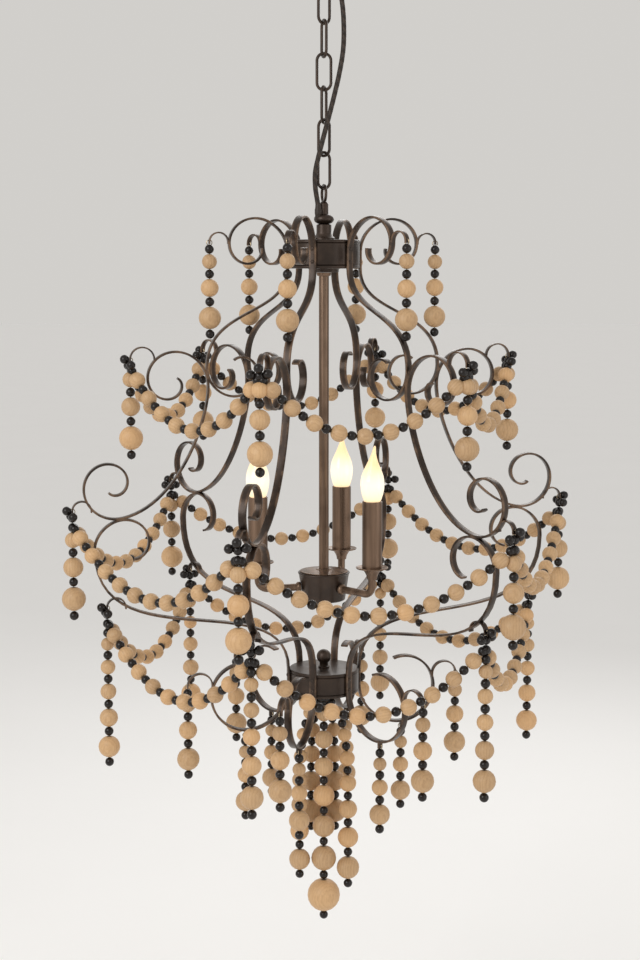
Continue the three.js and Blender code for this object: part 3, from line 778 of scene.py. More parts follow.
def rounded_strip(width, thickness, edge):
    """A strip's section with rounded long edges, and how worn each point is."""
    points = []
    wear = []
    for side, rise, start in CORNERS:
        centre = (side * (width / 2 - edge), rise * (thickness / 2 - edge))
        points += arc(centre, edge, start, start + 90, STRIP_EDGE_STEPS)
        wear += [1.0] * (STRIP_EDGE_STEPS + 1)
        # one calm point in the middle of each flat keeps the wear on the edges
        if side == rise:
            points.append((0, rise * thickness / 2))
            wear.append(0.0)
    return points, wear


def skin(rows, sides, closed=False):
    """Faces between rows of points, with an end cap on each end of an open body."""
    faces = []
    for i in range(rows if closed else rows - 1):
        low = i * sides
        high = (i + 1) % rows * sides
        for j in range(sides):
            k = (j + 1) % sides
            faces.append((low + j, low + k, high + k, high + j))
    if not closed:
        faces.append(tuple(reversed(range(sides))))
        faces.append(tuple((rows - 1) * sides + j for j in range(sides)))
    return faces


def sweep(path, section, closed=False):
    """A body along a path in the X and Z plane; section(i) gives ring i's (side, rise) points."""
    points = []
    last = len(path) - 1
    for i, point in enumerate(path):
        before = path[i - 1] if i > 0 or closed else path[0]
        after = path[(i + 1) % len(path)] if i < last or closed else path[last]
        rise = (after - before).normalized().cross(ACROSS).normalized()
        points += [point + ACROSS * a + rise * b for a, b in section(i)]
    return points, skin(len(path), len(points) // len(path), closed)


def tube_along(path, radius, sides):
    """A tube along a free path, with a frame that doesn't twist, and the run and turn of each point."""
    points = []
    places = []
    side = (path[1] - path[0]).normalized().orthogonal().normalized()
    run = 0.0
    for i, point in enumerate(path):
        ahead = (path[min(i + 1, len(path) - 1)] - path[max(i - 1, 0)]).normalized()
        side = (side - ahead * side.dot(ahead)).normalized()
        rise = ahead.cross(side)
        run += (point - path[i - 1]).length if i else 0.0
        for j in range(sides):
            turn = 2 * math.pi * j / sides
            points.append(point + (side * math.cos(turn) + rise * math.sin(turn)) * radius)
            places.append((run, turn))
    return (points, skin(len(path), sides)), places


def ring(radius, wire, steps=40, sides=12):
    """A wire ring in the X and Z plane."""
    path = [Vector((side, 0, rise)) for rise, side in circle(radius, steps)]
    return sweep(path, lambda i: circle(wire, sides), True)


# Geometry Nodes


class Tree(Nodes):
    """A geometry node group with named inputs, and short calls for its nodes."""

    def __init__(self, name, inputs):
        self.group = bpy.data.node_groups.new(name, "GeometryNodeTree")
        super().__init__(self.group)
        face = self.group.interface
        for label, kind in (("Geometry", "Geometry"), *inputs.items()):
            face.new_socket(label, in_out="INPUT", socket_type="NodeSocket" + kind)
        face.new_socket("Geometry", in_out="OUTPUT", socket_type="NodeSocketGeometry")
        self.source = self.node("NodeGroupInput").outputs

    def named(self, name, kind="FLOAT"):
        made = self.node("GeometryNodeInputNamedAttribute", {"data_type": kind}, Name=name)
        return made.outputs["Attribute"]

    def store(self, geometry, name, value, kind="FLOAT", domain="POINT"):
        made = self.node("GeometryNodeStoreNamedAttribute", {"data_type": kind, "domain": domain},
                         Geometry=geometry, Name=name, Value=value)
        return made.outputs["Geometry"]

    def random(self, seed, low=0.0, high=1.0):
        made = self.node("FunctionNodeRandomValue", {"data_type": "FLOAT"}, Seed=seed)
        self.set(made.inputs[2], low)
        self.set(made.inputs[3], high)
        return made.outputs[1]

    def ball(self, sides, rows):
        return self.node("GeometryNodeMeshUVSphere", Segments=sides, Rings=rows).outputs["Mesh"]

    def points(self):
        return self.node("GeometryNodeMeshToPoints", Mesh=self.source["Geometry"]).outputs[0]

    def aimed(self):
        """The rotation that lays Z along each point's stored direction."""
        along = self.named("along", "FLOAT_VECTOR")
        return self.node("FunctionNodeAlignRotationToVector", {"axis": "Z"}, Vector=along).outputs[0]

    def painted(self, geometry, finish_socket):
        smooth = self.node("GeometryNodeSetShadeSmooth", Geometry=geometry).outputs[0]
        return self.node("GeometryNodeSetMaterial", Geometry=smooth, Material=finish_socket).outputs[0]

    def placed(self, instance, rotation, **named):
        made = self.node("GeometryNodeInstanceOnPoints", Points=self.points(), Instance=instance,
                         Rotation=rotation, **named)
        return made.outputs[0]

    def end(self, *parts):
        """Joins the parts, realizes their instances and ends the tree."""
        joint = self.node("GeometryNodeJoinGeometry")
        for part in parts:
            self.links.new(part, joint.inputs[0])
        real = self.node("GeometryNodeRealizeInstances", Geometry=joint.outputs[0])
        self.node("NodeGroupOutput", None, real.outputs[0])
        return self.group


def realized(name, seeds, build, values):
    """A plain object from a point mesh and a node group, built on its first use, with these inputs."""
    group = bpy.data.node_groups.get(build.__name__) or build()
    carrier = new_object(name + "_seeds", seeds)
    modifier = carrier.modifiers.new("Repeat", "NODES")
    modifier.node_group = group
    for item in group.interface.items_tree:
        if item.name in values:
            modifier[item.identifier] = values[item.name]
    mesh = baked(carrier)
    mesh.name = name
    return new_object(name, mesh)


def strung_beads():
    """Wooden and black beads on points that hold a radius, a direction and a kind."""
    tree = Tree("strung_beads", {"Sides": "Int", "Play": "Float", "Seed": "Int", "Wood": "Material",
                                 "Black": "Material"})
    sides = tree.source["Sides"]
    seed = tree.source["Seed"]
    black = tree.named("is_black", "BOOLEAN")
    wooden = tree.maths("NOT", black, kind="FunctionNodeBooleanMath")
    radius = tree.named("bead_radius")
    play = tree.random(seed, tree.maths("SUBTRACT", 1.0, tree.source["Play"]))
    tone = tree.random(tree.maths("ADD", seed, 1.0))
    spin = tree.random(tree.maths("ADD", seed, 2.0), 0.0, 2 * math.pi)
    about = tree.node("FunctionNodeAxisAngleToRotation", Axis=(0, 0, 1), Angle=spin).outputs[0]
    rotation = tree.node("FunctionNodeRotateRotation", {"rotation_space": "LOCAL"}, tree.aimed(), about)
    size = tree.maths("MULTIPLY", radius, play)
    small = tree.maths("MULTIPLY", sides, BLACK_SIDES_SHARE)
    parts = []
    for label, chosen, segments, rows in (
        ("Wood", wooden, sides, tree.maths("DIVIDE", sides, WOOD_ROUNDNESS)),
        ("Black", black, small, tree.maths("DIVIDE", small, BLACK_ROUNDNESS)),
    ):
        position = tree.node("GeometryNodeInputPosition").outputs[0]
        bead = tree.store(tree.ball(segments, rows), "grain", position, "FLOAT_VECTOR")
        bead = tree.painted(bead, tree.source[label])
        part = tree.placed(bead, rotation.outputs[0], Selection=chosen, Scale=size)
        part = tree.store(part, "tone", tone, "FLOAT", "INSTANCE")
        parts.append(tree.store(part, "bead_radius", radius, "FLOAT", "INSTANCE"))
    return tree.end(*parts)


def chain_links():
    """Oval wire links down a line, each turned from the one above."""
    tree = Tree("chain_links", {"Width": "Float", "Length": "Float", "Wire": "Float", "Finish": "Material"})
    wire = tree.source["Wire"]
    across = tree.maths("SUBTRACT", tree.source["Width"], wire)
    down = tree.maths("SUBTRACT", tree.source["Length"], wire)
    oval = tree.node("GeometryNodeCurvePrimitiveQuadrilateral", Width=across, Height=down).outputs[0]
    rounded = tree.node("GeometryNodeFilletCurve", {"mode": "POLY"}, Curve=oval, Count=12,
                        Radius=tree.maths("MULTIPLY", across, LINK_CORNER_SHARE)).outputs[0]
    half = tree.maths("DIVIDE", wire, 2.0)
    profile = tree.node("GeometryNodeCurvePrimitiveCircle", Resolution=12, Radius=half).outputs[0]
    body = tree.node("GeometryNodeCurveToMesh", Curve=rounded, Profile_Curve=profile).outputs[0]
    stood = tree.node("GeometryNodeTransform", Geometry=body, Rotation=(math.pi / 2, 0, 0)).outputs[0]
    link = tree.painted(stood, tree.source["Finish"])
    place = tree.maths("ADD", tree.node("GeometryNodeInputIndex").outputs[0], 1 - FRONT_LINK)
    turn = tree.node("ShaderNodeCombineXYZ", Z=tree.maths("MULTIPLY", place, math.radians(CHAIN_TURN)))
    return tree.end(tree.placed(link, turn.outputs[0]))


def screw_heads():
    """Low domed screw heads on points that hold a direction."""
    tree = Tree("screw_heads", {"Radius": "Float", "Finish": "Material"})
    radius = tree.source["Radius"]
    low = tree.maths("MULTIPLY", radius, SCREW_DOME_SHARE)
    size = tree.node("ShaderNodeCombineXYZ", None, radius, radius, low).outputs[0]
    head = tree.node("GeometryNodeTransform", Geometry=tree.ball(18, 10), Scale=size).outputs[0]
    return tree.end(tree.placed(tree.painted(head, tree.source["Finish"]), tree.aimed()))


# The arms' curls and runs, in the arm's own plane of radius and height


class Curl:
    """A spiral: hand 1 winds out anticlockwise, and heading is its direction at the outer end."""

    def __init__(self, size, hand, heading, settles=False):
        self.outer, inner, turn = size
        self.turn = math.radians(turn)
        self.hand = hand
        self.growth = (self.outer - inner) / self.turn
        self.end = math.radians(heading) - hand * (math.pi / 2 - math.atan(self.growth / self.outer))
        self.settles = settles
        self.centre = Vector((0, 0))

    def radius_at(self, degrees):
        back = (self.hand * (self.end - math.radians(degrees))) % (2 * math.pi)
        return self.outer - self.growth * back

    def point(self, degrees, extra=0.0):
        return self.centre + toward(math.radians(degrees)) * (self.radius_at(degrees) * FLAT_SHARE + extra)

    def share(self, left):
        """The drawn radius over the CAD one: full at the outer end where a hub or run fits it."""
        if not self.settles:
            return FLAT_SHARE
        t = min(left / SETTLE_TURN, 1)
        return mixed(1, FLAT_SHARE, t * t * (3 - 2 * t))

    def points(self):
        """From the inner end to the outer end."""
        made = []
        for t in shares(round(self.turn / CURL_STEP)):
            left = self.turn * (1 - t)
            radius = (self.outer - self.growth * left) * self.share(left)
            made.append(self.centre + toward(self.end - self.hand * left) * radius)
        return made

    def full_end(self):
        return self.centre + toward(self.end) * self.outer


def weld(first, second, degrees, thickness):
    """Puts the second curl against the first at an angle."""
    radii = (first.radius_at(degrees) + second.radius_at(degrees + 180)) * FLAT_SHARE
    second.centre = first.centre + toward(math.radians(degrees)) * (radii + thickness - WELD_BITE)


class Run:
    """A strip's free stretch between two ends, each with its heading."""

    def __init__(self, start, start_heading, end, end_heading, lead_shares):
        span = (end - start).length
        self.hold = [start, start + toward(start_heading) * span * lead_shares[0],
                     end - toward(end_heading) * span * lead_shares[1], end]

    def at(self, t):
        a, b, c, d = self.hold
        return a * (1 - t) ** 3 + b * (3 * t * (1 - t) ** 2) + c * (3 * t * t * (1 - t)) + d * t ** 3

    def heading(self, t):
        a, b, c, d = self.hold
        return bowed(b - a, c - b, d - c, t).normalized()

    def points(self):
        return [self.at(t) for t in shares(RUN_STEPS)[1:-1]]


class ArmPlan:
    """Where an arm's curls, runs, hooks and hook tips are."""

    def __init__(self, sizes):
        thickness = sizes.strip_thickness
        self.side = HUB_RADIUS + STRIP_GAP + thickness / 2
        self.crown = Curl(CROWN_CURL, 1, -90, True)
        self.crown.centre = Vector((self.flush(self.crown), HUB_HIGH.z - CROWN_CURL_DROP))
        self.shoulder = Curl(SHOULDER_CURL, 1, 90)
        self.shoulder.centre = Vector((SHOULDER_REACH, HUB_HIGH.z - SHOULDER_DROP))
        self.elbow = Curl(ELBOW_CURL, 1, -90)
        weld(self.shoulder, self.elbow, ELBOW_WELD_ANGLE, thickness)
        self.foot = Curl(FOOT_CURL, -1, FOOT_HEADING + 180)
        self.foot.centre = Vector((FOOT_REACH, LOWER_HUB_HIGH.z + FOOT_RISE))
        self.wrist = Curl(WRIST_CURL, -1, -90, True)
        weld(self.foot, self.wrist, WRIST_WELD_ANGLE, thickness)
        self.basket = Curl(BASKET_CURL, -1, 90, True)
        self.basket.centre = Vector((self.flush(self.basket), LOWER_HUB_LOW.z + thickness))
        self.hub_edge = Vector((self.side, HUB_BOTTOM))
        self.lower_edge = Vector((self.side, LOWER_HUB_HIGH.z))
        self.upper_run = Run(self.hub_edge, DOWNWARD, self.shoulder.points()[-1], DOWNWARD, CROWN_RUN_SHARES)
        self.middle_run = Run(self.elbow.points()[-1], DOWNWARD, self.foot.points()[-1],
                              math.radians(FOOT_HEADING), MIDDLE_RUN_SHARES)
        self.lower_run = Run(self.wrist.full_end(), DOWNWARD, self.lower_edge, DOWNWARD, LOWER_RUN_SHARES)
        reach = (thickness + sizes.hook_thickness) / 2 - WELD_BITE
        along = self.lower_run.heading(WRIST_HOOK[1])
        wrist_root = self.lower_run.at(WRIST_HOOK[1]) + Vector((-along.y, along.x)) * reach
        self.roots = {
            "crown": (self.crown.point(CROWN_HOOK[1], reach), CROWN_HOOK[0]),
            "elbow": (self.elbow.point(ELBOW_HOOK[1], reach), ELBOW_HOOK[0]),
            "foot": (self.foot.point(FOOT_HOOK[1], reach), FOOT_HOOK[0]),
            "wrist": (wrist_root, WRIST_HOOK[0]),
            "basket": (self.basket.point(BASKET_HOOK[1], reach), BASKET_HOOK[0]),
        }
        self.lug_root = self.basket.point(-90)

    def flush(self, curl):
        """How far out the middle of a curl is when its outer end lies on the hub's wall."""
        return self.side - curl.outer * math.cos(curl.end)

    def strips(self):
        crown = [*self.crown.points(), self.hub_edge, *self.upper_run.points()]
        wrist = [*self.wrist.points(), *self.lower_run.points(), self.lower_edge]
        return [
            [*crown, *reversed(self.shoulder.points())],
            [*self.elbow.points(), *self.middle_run.points(), *reversed(self.foot.points())],
            [*wrist, *reversed(self.basket.points())],
        ]

    def hook(self, name):
        root, radius = self.roots[name]
        bow = [root + Vector((radius, 0)) + toward(math.pi * (1 - t)) * radius for t in shares(HOOK_STEPS)]
        return [root - Vector((0, HOOK_TAIL / 2)), *bow, root + Vector((2 * radius, -HOOK_TAIL / 2))]

    def tip(self, name):
        if name == "lug":
            return self.lug_root - Vector((0, LUG_HEIGHT))
        return self.hook(name)[-1]


def strip_body(points, width, thickness, edge):
    """A rounded strip along points of the arm's plane, and the wear of its points."""
    section, wear = rounded_strip(width, thickness, edge)
    path = [Vector((point.x, 0, point.y)) for point in points]
    return sweep(path, lambda i: section), wear * len(points)


# Bead strings


def stations(beads, black, lead=1):
    """Where each bead's middle is along its string, its radius and whether it is black."""
    made = [((i + .5) * black, black / 2, True) for i in range(lead)]
    at = lead * black
    for bead in beads:
        made.append((at + bead / 2, bead / 2, False))
        made.append((at + bead + black / 2, black / 2, True))
        at += bead + black
    return made, at


class Beads:
    """Points for one node-made set of bead strings, and the threads through them."""

    def __init__(self, sizes):
        self.sizes = sizes
        self.black = sizes.black_bead
        self.points = []
        self.along = []
        self.radii = []
        self.kinds = []
        self.threads = []
        self.loops = []

    def put(self, point, along, radius=None):
        """A wooden bead of this radius, or a black one."""
        self.points.append(point)
        self.along.append(along)
        self.radii.append(radius or self.black / 2)
        self.kinds.append(radius is None)

    def string(self, beads, place, lead=1):
        """Beads along place(at), a function from a distance to a point."""
        made, full_length = stations(beads, self.black, lead)
        for at, radius, is_black in made:
            along = (place(at + AIM_STEP) - place(at - AIM_STEP)).normalized()
            self.put(place(at), along, None if is_black else radius)
        self.threads.append([place(full_length * t) for t in shares(len(made))])

    def drop(self, tip, beads, degrees, lead=1):
        """A string straight down from a hook's tip, on its wire loop."""
        top = Vector((tip.x, 0, tip.y - KNOT_GAP))
        self.string(beads, lambda at: turned_about(top - UP * at, degrees), lead)
        self.loops.append((turned_about(top + UP * LOOP_REACH * LOOP_LIFT_SHARE, degrees), degrees))

    def knot(self, tip, degrees):
        """The black beads bunched round a garland hook's tip, where its strings meet."""
        rng = random.Random(SEED + int(degrees * 10))
        for side, rise, out in KNOT_SHARES:
            stray = side * self.black + rng.uniform(-KNOT_STRAY, KNOT_STRAY)
            point = Vector((tip.x + out * self.black, stray, tip.y - KNOT_GAP + rise * self.black))
            tilt = Vector((out, side, rise)).normalized()
            self.put(turned_about(point, degrees), turned_about(tilt, degrees))

    def settle(self, node, body):
        """One object of the beads, their threads and their wire loops, in place of its CAD node."""
        name = node + "_beads"
        seeds = point_mesh(name + "_points", self.points, self.along,
                           bead_radius=("FLOAT", self.radii), is_black=("BOOLEAN", self.kinds))
        first = realized(name, seeds, strung_beads, {
            "Sides": self.sizes.bead_sides, "Play": self.sizes.bead_play, "Seed": SEED + len(self.points),
            "Wood": material(WOOD), "Black": material(BLACK)})
        extra = Shape(THREAD, WIRE)
        for path in self.threads:
            extra.add(tube_along(path, self.sizes.thread, THREAD_SIDES)[0])
        for centre, turn in self.loops:
            extra.add(ring(LOOP_REACH, LOOP_WIRE_RADIUS, LOOP_STEPS, THREAD_SIDES), 1, turn, centre)
        both = [first, extra.piece(name + "_threads")]
        with bpy.context.temp_override(active_object=first, selected_editable_objects=both, object=first):
            bpy.ops.object.join()
        first.name = name
        settle(first, body, "wood_beads", node)


def swag_place(start, end, full_length):
    """A function from a distance along the swag to its point: a parabola of the swag's own length."""
    span = (end - start).length
    sag = span * SAG_SHARE * math.sqrt(max(full_length / span - 1, 0))
    middle = (start + end) / 2 - UP * 2 * sag
    curve = [bowed(start, middle, end, t) for t in shares(SWAG_STEPS)]
    run = [0.0]
    for a, b in zip(curve, curve[1:]):
        run.append(run[-1] + (b - a).length)

    def place(at):
        wanted = min(max(at / full_length, 0), 1) * run[-1]
        i = next((k for k in range(1, SWAG_STEPS + 1) if run[k] >= wanted), SWAG_STEPS)
        return curve[i - 1].lerp(curve[i], (wanted - run[i - 1]) / (run[i] - run[i - 1]))

    return place


# Operators


class Build:
    """What the operators share."""

    bl_options = {"REGISTER", "UNDO"}

    def execute(self, context):
        self.make(context.scene, context.scene.chandelier_sizes)
        return {"FINISHED"}


class CHANDELIER_OT_stage(Build, bpy.types.Operator):
    """Camera, pale floor, background and soft lights"""

    bl_idname = "chandelier.stage"
    bl_label = "Stage"

    def make(self, scene, sizes):
        stage = scene.chandelier_stage
        self.camera(scene, stage)
        self.floor(stage)
        self.world(scene, stage)
        self.lights(stage)
        scene.view_settings.view_transform = "Standard"

    def camera(self, scene, stage):
        data = bpy.data.cameras.new("camera")
        data.lens = FOCAL_PIXELS / IMAGE_HEIGHT * SENSOR
        data.sensor_width = SENSOR
        made = new_object("camera", data)
        side = (IMAGE_WIDTH / 2 - AXIS_PIXEL) / FOCAL_PIXELS * stage.camera_distance
        made.location = (side, -stage.camera_distance, HUB_HIGH.z - HORIZON_DROP)
        tilt = math.atan((IMAGE_HEIGHT / 2 - HORIZON_PIXEL) / FOCAL_PIXELS)
        made.rotation_euler = (math.pi / 2 - tilt, 0, 0)
        scene.camera = made

    def floor(self, stage):
        size = stage.floor_size / 2
        height = CAD_BOX[0].z - stage.floor_drop
        corners = [(x * size, y * size, height) for x, y in ((-1, -1), (1, -1), (1, 1), (-1, 1))]
        mesh = bpy.data.meshes.new("floor")
        mesh.from_pydata(corners, [], [(0, 1, 2, 3)])
        made = new_object("floor", mesh)
        cover = Finish("pale floor")
        grain = cover.noise(3, 3, .5)
        tint = cover.mix(grain, full(stage.floor_colour, .985), full(stage.floor_colour, 1.01))
        cover.shade(Base_Color=tint, Roughness=.9, Specular_IOR_Level=.1)
        mesh.materials.append(cover.material)

    def world(self, scene, stage):
        """Daylight all round, and a plain backdrop where the camera, a shine or glass sees it."""
        scene.world = bpy.data.worlds.new("soft daylight")
        scene.world.use_nodes = True
        world = Nodes(scene.world.node_tree)
        rays = world.node("ShaderNodeLightPath").outputs
        seen = rays["Is Camera Ray"]
        for name in ("Is Glossy Ray", "Is Transmission Ray"):
            seen = world.maths("MAXIMUM", seen, rays[name])
        sky = world.fill(world.nodes["Background"], (1, .985, .965, 1), stage.sky_strength)
        shown = world.node("ShaderNodeBackground", Color=full(stage.backdrop))
        mix = world.node("ShaderNodeMixShader", None, seen, sky.outputs[0], shown.outputs[0])
        world.fill(world.nodes["World Output"], mix.outputs[0])

    def lights(self, stage):
        middle = (CAD_BOX[0] + CAD_BOX[1]) / 2
        for name, place, size, power in (
            ("key light", Vector((-1.5, -1.7, .9)), 1.6, stage.key_power),
            ("fill light", Vector((1.9, -1.2, .1)), 1.8, stage.fill_power),
            ("rim light", Vector((.6, 1.9, 1.1)), 1.5, stage.rim_power),
        ):
            data = bpy.data.lights.new(name, "AREA")
            data.energy = power
            data.size = size
            made = new_object(name, data)
            made.location = middle + place
            made.rotation_euler = (-place).to_track_quat("-Z", "Y").to_euler()


class CHANDELIER_OT_cable(Build, bpy.types.Operator):
    """Supply cable from the canopy down beside the chain to the neck"""

    bl_idname = "chandelier.cable"
    bl_label = "Supply Cable"

    def make(self, scene, sizes):
        diameter = sizes.cable_diameter
        path = self.path()
        body, places = tube_along(path, diameter / 2, CABLE_SIDES)
        twist = [2 * (turn + math.pi * run / CABLE_TWIST) for run, turn in places]
        piece = Shape(CABLE).add(body, twist=twist).piece("supply_cable_jacket")
        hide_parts("supply_cable")
        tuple(CABLE_ROUTE[0])
        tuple(CABLE_ROUTE[6])
        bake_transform(piece)
        full_length = sum((b - a).length for a, b in zip(path, path[1:]))
        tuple(CABLE_ROUTE[0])

    def path(self):
        """A smooth curve through the route's points."""
        route = [Vector(point) for point in CABLE_ROUTE]
        route = [route[0] * 2 - route[1], *route, route[-1] * 2 - route[-2]]
        made = []
        for i in range(1, len(route) - 2):
            a, b, c, d = route[i - 1:i + 3]
            for t in shares(CABLE_POINTS_A_SPAN)[:-1]:
                made.append(.5 * (2 * b + (c - a) * t + (2 * a - 5 * b + 4 * c - d) * t ** 2
                                  + (3 * b - a - 3 * c + d) * t ** 3))
        return [*made, route[-2]]


class CHANDELIER_OT_ceiling(Build, bpy.types.Operator):
    """Ceiling bracket, canopy and canopy loop"""

    bl_idname = "chandelier.ceiling"
    bl_label = "Ceiling Fitting"

    def make(self, scene, sizes):
        self.bracket()
        self.canopy()
        self.loop()

    def bracket(self):
        """A flat bar with rounded ends and two slots, from a filled outline."""
        data = bpy.data.curves.new("bracket_outline", "CURVE")
        data.dimensions = "2D"
        data.fill_mode = "BOTH"
        data.extrude = (BRACKET_HIGH.z - BRACKET_LOW.z) / 2
        slot = BRACKET_SLOT_WIDTH / 2
        outlines = [(0, BRACKET_HIGH.x, BRACKET_HIGH.y, BRACKET_CORNER)]
        outlines += [(side * BRACKET_SLOT_REACH, BRACKET_SLOT_LENGTH / 2, slot, slot) for side in (-1, 1)]
        for middle, long_half, short_half, corner in outlines:
            points = []
            for x, y, start in CORNERS:
                centre = (middle + x * (long_half - corner), y * (short_half - corner))
                points += arc(centre, corner, start, start + 90, 6)
            spline = data.splines.new("POLY")
            spline.points.add(len(points) - 1)
            for point, (x, y) in zip(spline.points, points):
                point.co = (x, y, 0, 1)
            spline.use_cyclic_u = True
        mesh = baked(new_object("bracket_outline", data))
        mesh.transform(Matrix.Translation(UP * (BRACKET_LOW.z + BRACKET_HIGH.z) / 2))
        mesh.materials.clear()
        mesh.materials.append(material(STEEL))
        mesh.polygons.foreach_set("material_index", [0] * len(mesh.polygons))
        settle(new_object("bracket_bar", mesh), "ceiling_plate", "plated_steel", "ceiling_bracket")

    def canopy(self):
        low = CANOPY_LOW.z
        outside = [(STEM_HOLE, low)]
        inside = []
        for t in shares(20):
            turn = t * math.pi / 2
            height = low + (-low - CANOPY_LIP) * (1 - math.cos(turn))
            radius = mixed(CANOPY_FLOOR_RADIUS, CANOPY_RADIUS - CANOPY_LIP, math.sin(turn))
            outside.append((radius, height))
            inside.insert(0, (radius - CANOPY_WALL, height + CANOPY_WALL))
        rim = CANOPY_RADIUS - CANOPY_WALL / 2
        bead = arc((rim, CANOPY_HIGH.z - CANOPY_WALL), CANOPY_WALL / 2, -60, 180, 10)
        inside.insert(0, (CANOPY_RADIUS - CANOPY_WALL, CANOPY_WALL - CANOPY_LIP))
        outline = [*outside, (rim, -CANOPY_LIP), *bead, *inside, (STEM_HOLE, low + CANOPY_WALL)]
        turned("canopy_dome", BRONZE, outline, "bronze", "ceiling_canopy", sides=72, body="ceiling_plate")

    def loop(self):
        bottom = LOOP_LOW.z + 2 * LOOP_INSIDE + 2 * LOOP_WIRE
        collar = CANOPY_LOW.z - LOOP_COLLAR_HEIGHT
        gap = CANOPY_LOW.z - STRIP_GAP
        stem = lathe(eased([
            (0, bottom - LOOP_WIRE), (LOOP_STEM_RADIUS, bottom - LOOP_WIRE / 2), (LOOP_STEM_RADIUS, collar),
            (LOOP_COLLAR_RADIUS, collar), (LOOP_COLLAR_RADIUS, gap), (LOOP_STEM_RADIUS, gap),
            (LOOP_STEM_RADIUS, LOOP_HIGH.z), (0, LOOP_HIGH.z)], SOFT_EDGE), 36)
        centre = (0, 0, LOOP_LOW.z + LOOP_WIRE + LOOP_INSIDE)
        eye = ring(LOOP_INSIDE + LOOP_WIRE / 2, LOOP_WIRE / 2)
        piece = Shape(BRONZE).add(stem).add(eye, turn=-CHAIN_TURN * FRONT_LINK, offset=centre)
        settle(piece.piece("canopy_eye"), "ceiling_plate", "bronze", "canopy_loop")


class CHANDELIER_OT_chain(Build, bpy.types.Operator):
    """The six chain links"""

    bl_idname = "chandelier.chain"
    bl_label = "Chain"

    def make(self, scene, sizes):
        names = [f"chain_link_{i + 1}" for i in range(LINK_COUNT)]
        middles = []
        for name in names:
            low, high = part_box(name)
            middles.append((low.z + high.z) / 2 * UP)
        seeds = point_mesh("chain_points", middles, [UP] * LINK_COUNT)
        piece = realized("chain", seeds, chain_links, {
            "Width": LINK_WIDTH, "Length": LINK_LENGTH, "Wire": sizes.link_wire, "Finish": material(BRONZE)})
        settle(piece, "hung_lamp", "bronze", *names)


